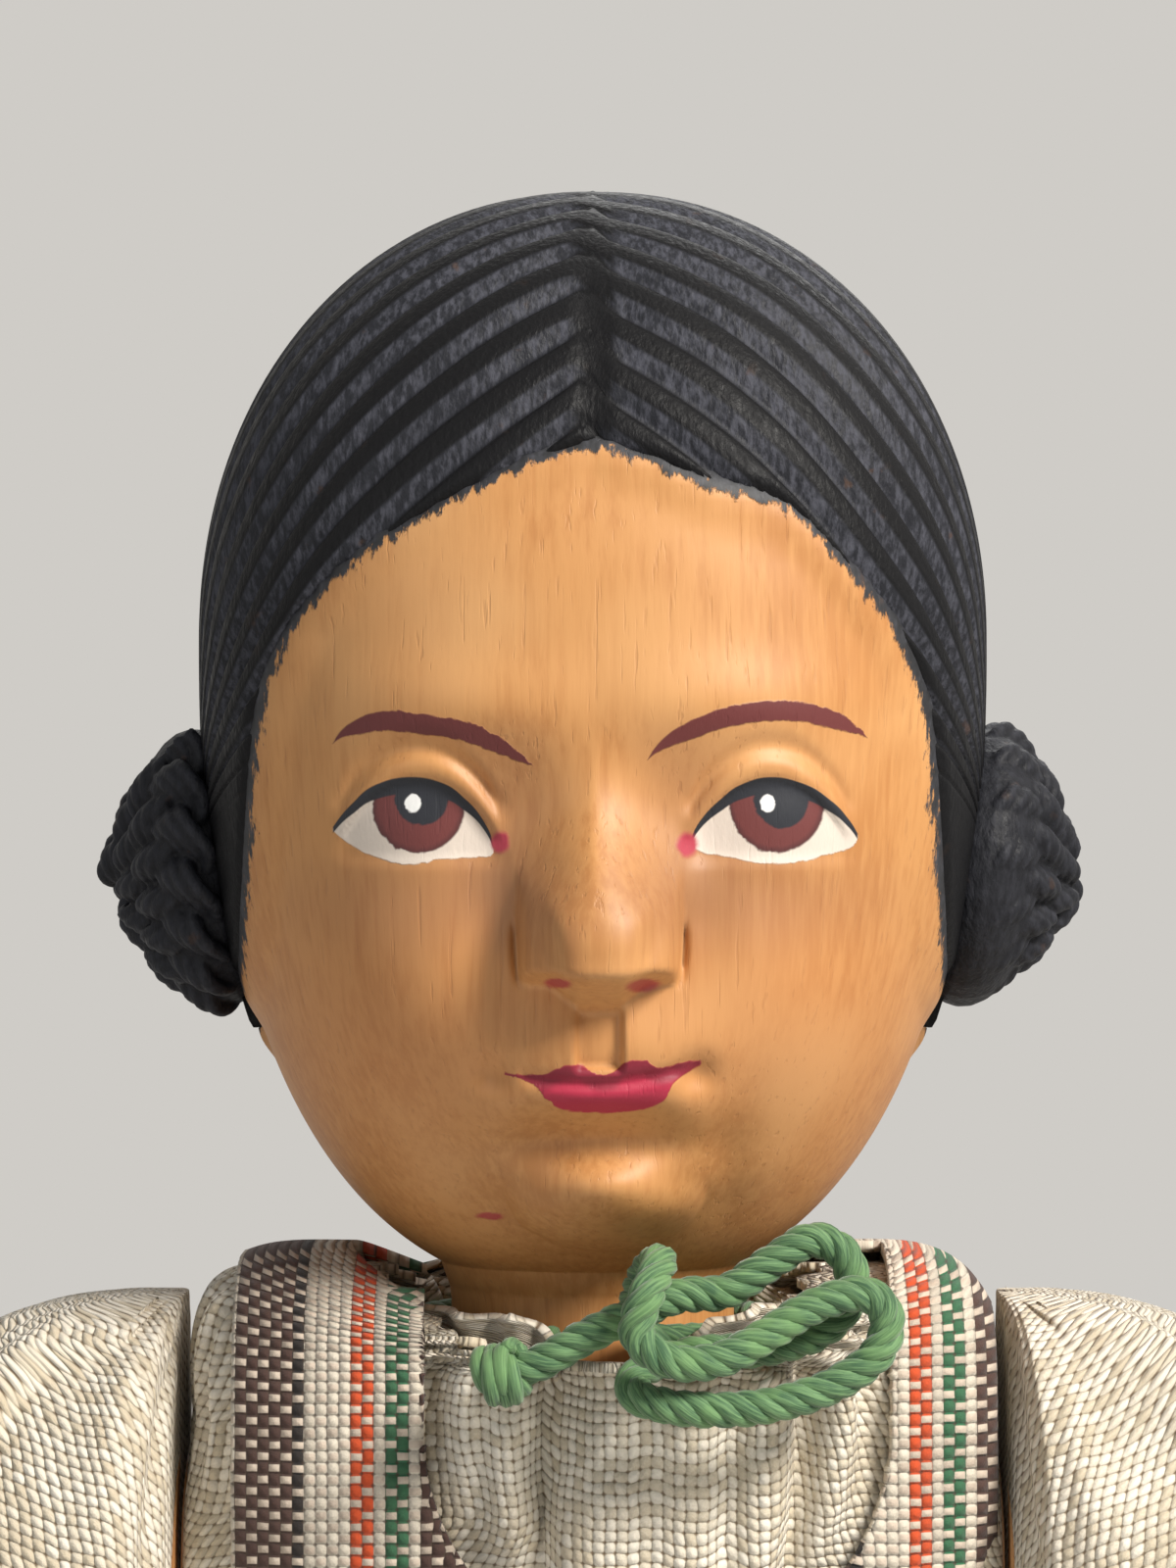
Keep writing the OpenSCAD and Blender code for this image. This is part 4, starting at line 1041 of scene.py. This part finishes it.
def chestPoint(turn, share, grow, neckGrow=0.0, square=0.3):
    up = clamp01(share / chest["chestShare"])
    halfW = mix(chest["waistHalfW"], chest["halfW"], up) + grow
    halfD = mix(chest["waistHalfD"], chest["halfD"], up) + grow
    power = 2 / mix(chest["waistPower"], chest["shoulderPower"], up)
    x = halfW * signedPower(math.sin(turn), power)
    y = -halfD * signedPower(math.cos(turn), power)
    z = mix(chest["waistZ"], chest["shoulderZ"], up)
    if share > chest["chestShare"]:
        swing = math.pi / 2 * (share - chest["chestShare"]) / (1 - chest["chestShare"])
        neckR = chest["neckR"] + neckGrow
        topZ = mix(chest["neckFrontZ"], chest["neckSideZ"], math.sin(turn) ** 2) + grow - 1.2
        inward = max(0.0, math.cos(swing)) ** square
        x = mix(neckR * math.sin(turn), x, inward)
        y = mix(-neckR * math.cos(turn), y, inward)
        z = mix(z, topZ, math.sin(swing) ** square)
    return Vector((x, y, z))


sleeve = {"innerX": 25.7, "clear": 0.1, "halfW": 11.4, "halfD": 15.5, "topZ": 240.2, "footAlong": 29.0,
          "armX": 31.6, "shoulderZ": 223.0, "slope": 9.0, "bandR": 7.1, "bandX": 36.4, "power": 0.7,
          "folds": [(0.56, 0.10, 0.66, 0.48, 1.5, 1.1), (0.70, 0.08, 0.78, 0.40, 1.2, 1.2),
                    (0.60, 0.55, 0.72, 0.85, 1.0, 1.0), (0.86, 0.12, 0.90, 0.45, 0.9, 1.2),
                    (0.44, 0.10, 0.34, 0.5, 1.2, 1.2), (0.22, 0.1, 0.2, 0.4, 1.0, 1.2)]}

bodice = {"grow": 2.55, "scoopX": 4.0, "scoopR": 14.4, "scoopZ": 233.0, "strapOuter": {1: 25.2, -1: 22.3},
          "armholeZ": 203.0, "armholeX": 26.5, "napeZ": 246.0, "napeR": 10.5, "footZ": 174.0,
          "neckR": 15.4, "columns": 320, "rows": 170}

blouse = {"grow": 1.15, "folds": [(-2.9, 1.0, 0.65), (12.4, 0.95, 0.7), (3.6, 0.2, 0.7), (8.0, 0.3, 0.6),
                                  (-6.8, 0.5, 0.6), (16.0, 0.5, 0.6)], "gathers": 34, "armX": 25.6,
                                  "armR": 8.0}


def blousePoint(u, share):
    turn = math.pi * (2 * u - 1)
    p = chestPoint(turn, share, blouse["grow"])
    high = smooth((p.z - 208) / 24)
    # set in round the arm's seat
    ring = smooth((blouse["armR"] + 3 - math.hypot(p.y, p.z - sleeve["shoulderZ"])) / 4)
    if abs(p.x) > 18:
        p.x = mix(p.x, math.copysign(blouse["armX"], p.x), ring)
    ripple = math.sin(blouse["gathers"] * turn + 2.0 * waver(p.x, p.y, p.z, 9.0))
    fold = 0.5 * ripple * smooth((p.z - 227) / 9)
    if p.y < 0:
        puff = 1.0
        for x, depth, halfW in blouse["folds"]:
            bend = 0.05 * (p.z - 230) + 0.3 * waver(x, 0, p.z, 6.0)
            puff -= depth * bell(p.x - x - bend, halfW)
        panel = 0.7 * smooth((8.5 - abs(p.x - 4.8)) / 5)
        inside = bodice["scoopR"] - math.hypot(p.x - bodice["scoopX"], min(0.0, p.z - bodice["scoopZ"]))
        fold += (2.6 + panel) * puff * smooth((inside - 0.6) / 4)
    fold += 0.25 * high * waver(p.x, p.y, p.z, 6.0) * (1 - ring)
    out = Vector((math.sin(turn), -math.cos(turn), 0))
    return p + out * fold


blousePiece = makeCloth(("blouseCloth", "blouse"), (440, 110), blousePoint, True, (0, 0), linenCloth,
                        "torso", clothThread["linenT"])

collar = {"r": 13.5, "footZ": 236.2, "height": 3.4, "slitLeft": 20.0, "slitRight": 5.0, "gathers": 24,
          "wave": 0.6}


def collarPoint(u, share):
    turn = math.radians(mix(collar["slitLeft"], 360 - collar["slitRight"], u))
    ends = smooth(min(u, 1 - u) / 0.05)
    wave = collar["wave"] * share * math.sin(collar["gathers"] * turn + 2.0 * math.sin(3 * turn))
    r = collar["r"] - 0.9 * math.sin(math.pi * share) + wave
    uneven = waver(6 * math.cos(turn), 6 * math.sin(turn), 0, 2.0)
    z = collar["footZ"] + share * ((collar["height"] + 0.8 * uneven) * mix(0.35, 1.0, ends))
    return Vector((r * math.sin(turn), -r * math.cos(turn), z))


collarPiece = makeCloth(("collarCloth", "collar"), (420, 16), collarPoint, False, (0, 0), linenCloth,
                        "torso", clothThread["linenT"])

# Striped bodice with straps. Its cuts are outlines seen from the front: below 0 inside the cut
def bodiceCut(p):
    scoop = math.hypot(p.x - bodice["scoopX"], min(0.0, p.z - bodice["scoopZ"])) - bodice["scoopR"]
    if p.y > 0:
        # a shallow round neck at the back
        scoop = math.hypot(p.x, p.z - bodice["napeZ"]) - bodice["napeR"]
    edgeX = mix(bodice["armholeX"], bodice["strapOuter"][1 if p.x > 0 else -1],
                smooth((p.z - bodice["armholeZ"]) / 16))
    armhole = max(edgeX - abs(p.x), bodice["armholeZ"] - p.z)
    return min(scoop, armhole)


def bodicePoint(u, share):
    turn = math.pi * (2 * u - 1)
    p = chestPoint(turn, share, bodice["grow"], bodice["neckR"] - chest["neckR"], 0.55)
    out = Vector((math.sin(turn), -math.cos(turn), 0.3))
    return p + out * (0.22 * waver(p.x, p.y, p.z, 9.0) + 0.1 * waver(p.x, p.y, p.z, 4.0))


def makeBodice():
    bm = clothGrid(bodice["columns"], bodice["rows"], bodicePoint, True)
    weave = bm.loops.layers.uv.active
    for face in bm.faces:
        behind = face.calc_center_median().y > 0  # the back is a panel of its own, seamed at the sides
        for loop in face.loops:
            p = loop.vert.co
            # stripes run straight over the shoulders
            straight = 1.0 if behind else smooth((p.z - 205) / 12)
            shift = mix(-1.9, -2.2, smooth((p.x + 9) / 26))
            bent = max(0.0, chest["waistHalfD"] + bodice["grow"] - p.y) * (1 - smooth((p.z - 205) / 12))
            run = p.x + math.copysign(bent, p.x) if behind else p.x
            loop[weave].uv.x = mix(loop[weave].uv.x, run - shift, straight) - stripeCloth["start"]
    centres = {f: f.calc_center_median() for f in bm.faces}
    lost = [f for f, p in centres.items() if bodiceCut(p) < 0 or p.z < bodice["footZ"]]
    bmesh.ops.delete(bm, geom=lost, context="FACES")
    for v in bm.verts:
        if v.is_boundary and v.co.z > 180:
            for _ in range(3):
                gap = bodiceCut(v.co)
                slopeX = (bodiceCut(v.co + Vector((0.05, 0, 0))) - gap) / 0.05
                slopeZ = (bodiceCut(v.co + Vector((0, 0, 0.05))) - gap) / 0.05
                steep = slopeX ** 2 + slopeZ ** 2
                if steep > 0.05 and abs(gap) < 1.5:
                    v.co -= Vector((slopeX, 0, slopeZ)) * (gap / steep)
    faceOut(bm, (0, 0))
    piece = thicken(addPiece("bodiceCloth", bm, stripedCloth, "torso"),
                    clothThread["stripeT"])
    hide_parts("bodice")
    return piece


bodicePiece = makeBodice()


def waistbandPoint(u, share):
    turn = math.pi * (2 * u - 1)
    p = chestPoint(turn, 0.02, 2.75 + 0.35 * math.sin(math.pi * share))
    p.z = mix(169.2, 174.6, share)
    return p


waistbandPiece = makeCloth(("waistbandCloth", "waistband"), (200, 12), waistbandPoint, True, (0, 0),
                           stripedCloth, "torso", clothThread["stripeT"])
print("blouse and bodice made")

# Puffed sleeves, set in at the inner side and gathered into a band
def sleevePoint(side, u, share):
    slope = math.radians(sleeve["slope"])
    footZ = sleeve["shoulderZ"] - sleeve["footAlong"] * math.cos(slope)
    footX = sleeve["armX"] + sleeve["footAlong"] * math.sin(slope)
    footAngle = math.pi - math.asin((sleeve["bandR"] / sleeve["halfD"]) ** (1 / sleeve["power"]))
    angle = footAngle * share
    fall = (1 - math.cos(angle)) / (1 - math.cos(footAngle))
    full = max(0.0, math.sin(angle)) ** sleeve["power"]
    drawIn = smooth(fall * 2 - 1)
    halfW = mix(sleeve["halfW"] * full, sleeve["bandR"], drawIn)
    cx = mix(sleeve["innerX"] + sleeve["clear"] + halfW, footX, drawIn)
    halfD = sleeve["halfD"] * full
    a = 2 * math.pi * u
    low = smooth((share - 0.55) / 0.4)
    high = smooth((0.5 - share) / 0.4)
    wave = 0.55 * low * math.sin(15 * a + 2.5 * math.sin(2 * a)) * (1 - 0.6 * smooth((share - 0.9) / 0.1))
    wave += 0.45 * high * smooth(share * 6) * math.sin(11 * a + 1.5 * math.sin(3 * a))
    wave += 1.0 * full * waver(4 * math.cos(a), 4 * math.sin(a), 7 * share + 5 * side, 1.9)
    for u0, s0, u1, s1, depth, width in sleeve["folds"]:
        run = clamp01((share - s0) / (s1 - s0))
        off = 75 * (u - mix(u0, u1, run) - 0.012 * math.sin(5 * run + side))
        ends = smooth((share - s0 + 0.06) / 0.12) * smooth((s1 + 0.06 - share) / 0.12)
        wave -= depth * bell(off, width) * ends
    inner = smooth(-math.cos(a) * 2 - 0.2)
    wave = mix(wave, -abs(wave) * 0.3, inner)
    x = (halfW + wave) * signedPower(math.cos(a), 0.8 if math.cos(a) > 0 else 0.3)
    y = (halfD + wave) * signedPower(math.sin(a), 0.8)
    z = mix(sleeve["topZ"], footZ, fall) + x * math.tan(slope) * drawIn
    return Vector((side * (cx + x), y, z))


def makeSleeve(side):
    name = "left" if side > 0 else "right"
    middle = (side * (sleeve["innerX"] + sleeve["halfW"]), 0)
    return makeCloth((name + "Sleeve", name + "_sleeve"), (200, 120), lambda u,
                     share: sleevePoint(side, u, share), True, middle, linenCloth, name + "_arm",
                     clothThread["linenT"])


def bandPoint(side, u, share):
    a = 2 * math.pi * u
    slope = math.radians(sleeve["slope"])
    r = 6.35 + 0.75 * math.sin(math.pi * share) ** 0.5 + 0.08 * math.sin(22 * a)
    down = -sleeve["footAlong"] + 0.1 - 4.5 * share
    local = Vector((r * math.cos(a), r * math.sin(a), down))
    turned = Matrix.Rotation(-side * slope, 3, "Y") @ local
    return turned + Vector((side * sleeve["armX"], 0, sleeve["shoulderZ"]))


def makeBand(side):
    name = "left" if side > 0 else "right"
    return makeCloth((name + "SleeveBand", name + "_sleeve_band"), (120, 14), lambda u,
                     share: bandPoint(side, u, share), True, (side * sleeve["bandX"], 0), linenCloth,
                     name + "_arm", clothThread["bandT"])


sleeves = [makeSleeve(side) for side in (1, -1)]
bands = [makeBand(side) for side in (1, -1)]
print("sleeves made")

# Divided skirt: each half is pleated and has a wall between the legs
skirt = {"waistZ": 169.0, "length": 80.0, "waistHalfW": 19.8, "waistHalfD": 13.3, "hemHalfW": 33.0,
         "hemHalfD": 30.0, "power": 0.62, "pleats": 8, "pleatH": 1.7, "gap": 0.4, "crotchZ": 125.6}


def skirtPoint(side, u, share):
    f = 1 - share
    a = math.pi * u
    halfW = mix(skirt["waistHalfW"], skirt["hemHalfW"], f ** skirt["power"])
    halfD = mix(skirt["waistHalfD"], skirt["hemHalfD"], f ** skirt["power"])
    crest = -math.cos(2 * math.pi * skirt["pleats"] * u)
    wave = skirt["pleatH"] * smooth(f * 1.6 + 0.12) * signedPower(crest, 0.7)
    wave += 0.4 * f * waver(6 * math.cos(a), 6 * math.sin(a), 3 * f + side, 1.5)
    x = max(skirt["gap"], (halfW + wave) * math.sin(a) ** 0.85) if 0 < u < 1 else skirt["gap"]
    y = -(halfD + wave) * signedPower(math.cos(a), 0.95)
    return Vector((side * x, y, skirt["waistZ"] - skirt["length"] * f))


def wallPoint(side, u, share):
    top = skirtPoint(side, 0, (skirt["crotchZ"] - skirt["waistZ"]) / skirt["length"] + 1)
    hem = skirtPoint(side, 0, 0)
    y = mix(hem.y, top.y, share) + 0.6
    z = mix(hem.z, skirt["crotchZ"], share)
    return Vector((side * (skirt["gap"] + 0.35 + 0.15 * math.sin(9 * u)), mix(y, -y, u), z))


def makeSkirt(side):
    name = "left" if side > 0 else "right"
    bm = clothGrid(320, 90, lambda u, share: skirtPoint(side, u, share), False, True)
    faceOut(bm, (side * 14, 0))
    weave = bm.loops.layers.uv.active
    for face in bm.faces:
        for loop in face.loops:
            loop[weave].uv.x += side * 26.0 - stripeCloth["start"]
    wall = clothGrid(60, 30, lambda u, share: wallPoint(side, u, share), False)
    for f in wall.faces:
        if f.normal.x * side > 0:
            f.normal_flip()
    panel = bpy.data.meshes.new("panel")
    wall.to_mesh(panel)
    wall.free()
    bm.from_mesh(panel)
    bpy.data.meshes.remove(panel)
    piece = thicken(addPiece(name + "Skirt", bm, stripedCloth, None),
                    clothThread["stripeT"])
    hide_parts(name + "_skirt")
    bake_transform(piece)
    return piece


skirts = [makeSkirt(side) for side in (1, -1)]
print("skirt made")

# Painted slippers at the foot of the lower legs
slipper = {"low": 8.2, "high": 13.6, "openY": -5.0, "soleZ": 2.9}


def makeShoes():
    material, tree, shader = newMaterial("paintedShoes", 0.45)
    place = objectPlace(tree)
    _, y, z = apart(tree, place)
    colour, height = woodColour(tree, place, woodTones)
    rough = calc(tree, "MULTIPLY", calc(tree, "SUBTRACT", speckle(tree, place, 0.9, 3.0, 0.6), 0.5), 1.4)
    toe = fade(tree, y, slipper["openY"] + 4, slipper["openY"] - 4)
    line = rescale(tree, toe, 0, 1, slipper["low"], slipper["high"])
    shoe = fade(tree, calc(tree, "SUBTRACT", calc(tree, "ADD", z, rough), line), 0.12, -0.12)
    worn = fade(tree, speckle(tree, place, 0.5, 4.0, 0.65), 0.68, 0.74)
    colour = layer(tree, calc(tree, "MULTIPLY", shoe, calc(tree, "SUBTRACT", 1.0, worn)), colour,
                   paint(36, 33, 34))
    sole = fade(tree, z, slipper["soleZ"] + 0.1, slipper["soleZ"] - 0.1)
    colour = layer(tree, sole, colour, paint(96, 62, 38))
    put(tree, colour, shader["Base Color"])
    put(tree, raised(tree, calc(tree, "ADD", height, calc(tree, "MULTIPLY", shoe, 2.0)), 0.02),
        shader["Normal"])
    return material


paintedShoes = makeShoes()

# The other wooden pieces keep their solids and get their finish here
for name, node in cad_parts.items():
    if node.hide_render:
        continue
    finish = pegWood if name.endswith("peg") else limbWood
    node.data.materials.clear()
    node.data.materials.append(paintedShoes if name.endswith("lower_leg") else finish)

# Camera and light, as in the photograph
view = {"distance": 320.0, "x": -0.3, "z": 272.5, "frameHeight": 100.0}


def makeCamera():
    lens = bpy.data.cameras.new("camera")
    lens.sensor_width = 36.0
    lens.lens = lens.sensor_width * view["distance"] / view["frameHeight"]
    lens.clip_start = 0.01
    camera = bpy.data.objects.new("camera", lens)
    camera.location = Vector((view["x"], -view["distance"], view["z"])) * mm
    camera.rotation_euler = (math.pi / 2, 0, 0)
    scene.collection.objects.link(camera)
    scene.camera = camera


def makeLamp(name, place, target, size, power, colour):
    data = bpy.data.lights.new(name, "AREA")
    data.shape = "DISK"
    data.size = size
    data.energy = power
    data.color = colour
    lamp = bpy.data.objects.new(name, data)
    lamp.location = place
    lamp.rotation_euler = (Vector(target) - Vector(place)).to_track_quat("-Z", "Y").to_euler()
    scene.collection.objects.link(lamp)


# The far floor and the world show one pale tone, so there is no horizon from any side
backdrop = {"tone": paint(207, 204, 199), "nearR": 260.0, "farR": 760.0, "half": 3.0,
            "ambient": (0.20, 0.205, 0.21, 1)}


def seenDirectly(tree):
    path = tree.nodes.new("ShaderNodeLightPath").outputs
    shown = calc(tree, "MAXIMUM", path["Is Camera Ray"], path["Is Glossy Ray"])
    return calc(tree, "MAXIMUM", shown, path["Is Transmission Ray"])


def makeStage():
    bm = bmesh.new()
    bmesh.ops.create_grid(bm, x_segments=2, y_segments=2, size=backdrop["half"] / mm)
    for v in bm.verts:
        v.co.z = -0.4
    material, tree, shader = newMaterial("paleFloor", 0.8)
    place = objectPlace(tree)
    tone = speckle(tree, place, 0.004, 3.0)
    put(tree, layer(tree, tone, paint(226, 223, 218), paint(232, 229, 225)), shader["Base Color"])
    reach = tree.nodes.new("ShaderNodeVectorMath")
    reach.operation = "LENGTH"
    put(tree, place, reach.inputs[0])
    glow = tree.nodes.new("ShaderNodeEmission")
    glow.inputs["Color"].default_value = backdrop["tone"]
    both = tree.nodes.new("ShaderNodeMixShader")
    far = fade(tree, reach.outputs["Value"], backdrop["nearR"], backdrop["farR"])
    put(tree, calc(tree, "MULTIPLY", far, seenDirectly(tree)), both.inputs[0])
    tree.links.new(tree.nodes["Principled BSDF"].outputs[0], both.inputs[1])
    tree.links.new(glow.outputs[0], both.inputs[2])
    tree.links.new(both.outputs[0], tree.nodes["Material Output"].inputs["Surface"])
    floor = addPiece("floor", bm, material)


def makeWorld():
    scene.world = bpy.data.worlds.new("studio")
    scene.world.use_nodes = True
    tree = scene.world.node_tree
    put(tree, layer(tree, seenDirectly(tree), backdrop["ambient"], backdrop["tone"]),
        tree.nodes["Background"].inputs["Color"])


makeCamera()
makeStage()
makeWorld()
makeLamp("key", (0.36, -0.34, 0.62), (0, 0, 0.26), 0.20, 6.0, (1.0, 0.96, 0.90))
makeLamp("fill", (-0.50, -0.56, 0.40), (0, 0, 0.24), 0.50, 0.8, (0.94, 0.97, 1.0))
makeLamp("back", (0.10, 0.42, 0.62), (0, 0, 0.26), 0.35, 1.0, (1.0, 1.0, 1.0))
scene.view_settings.view_transform = "Standard"
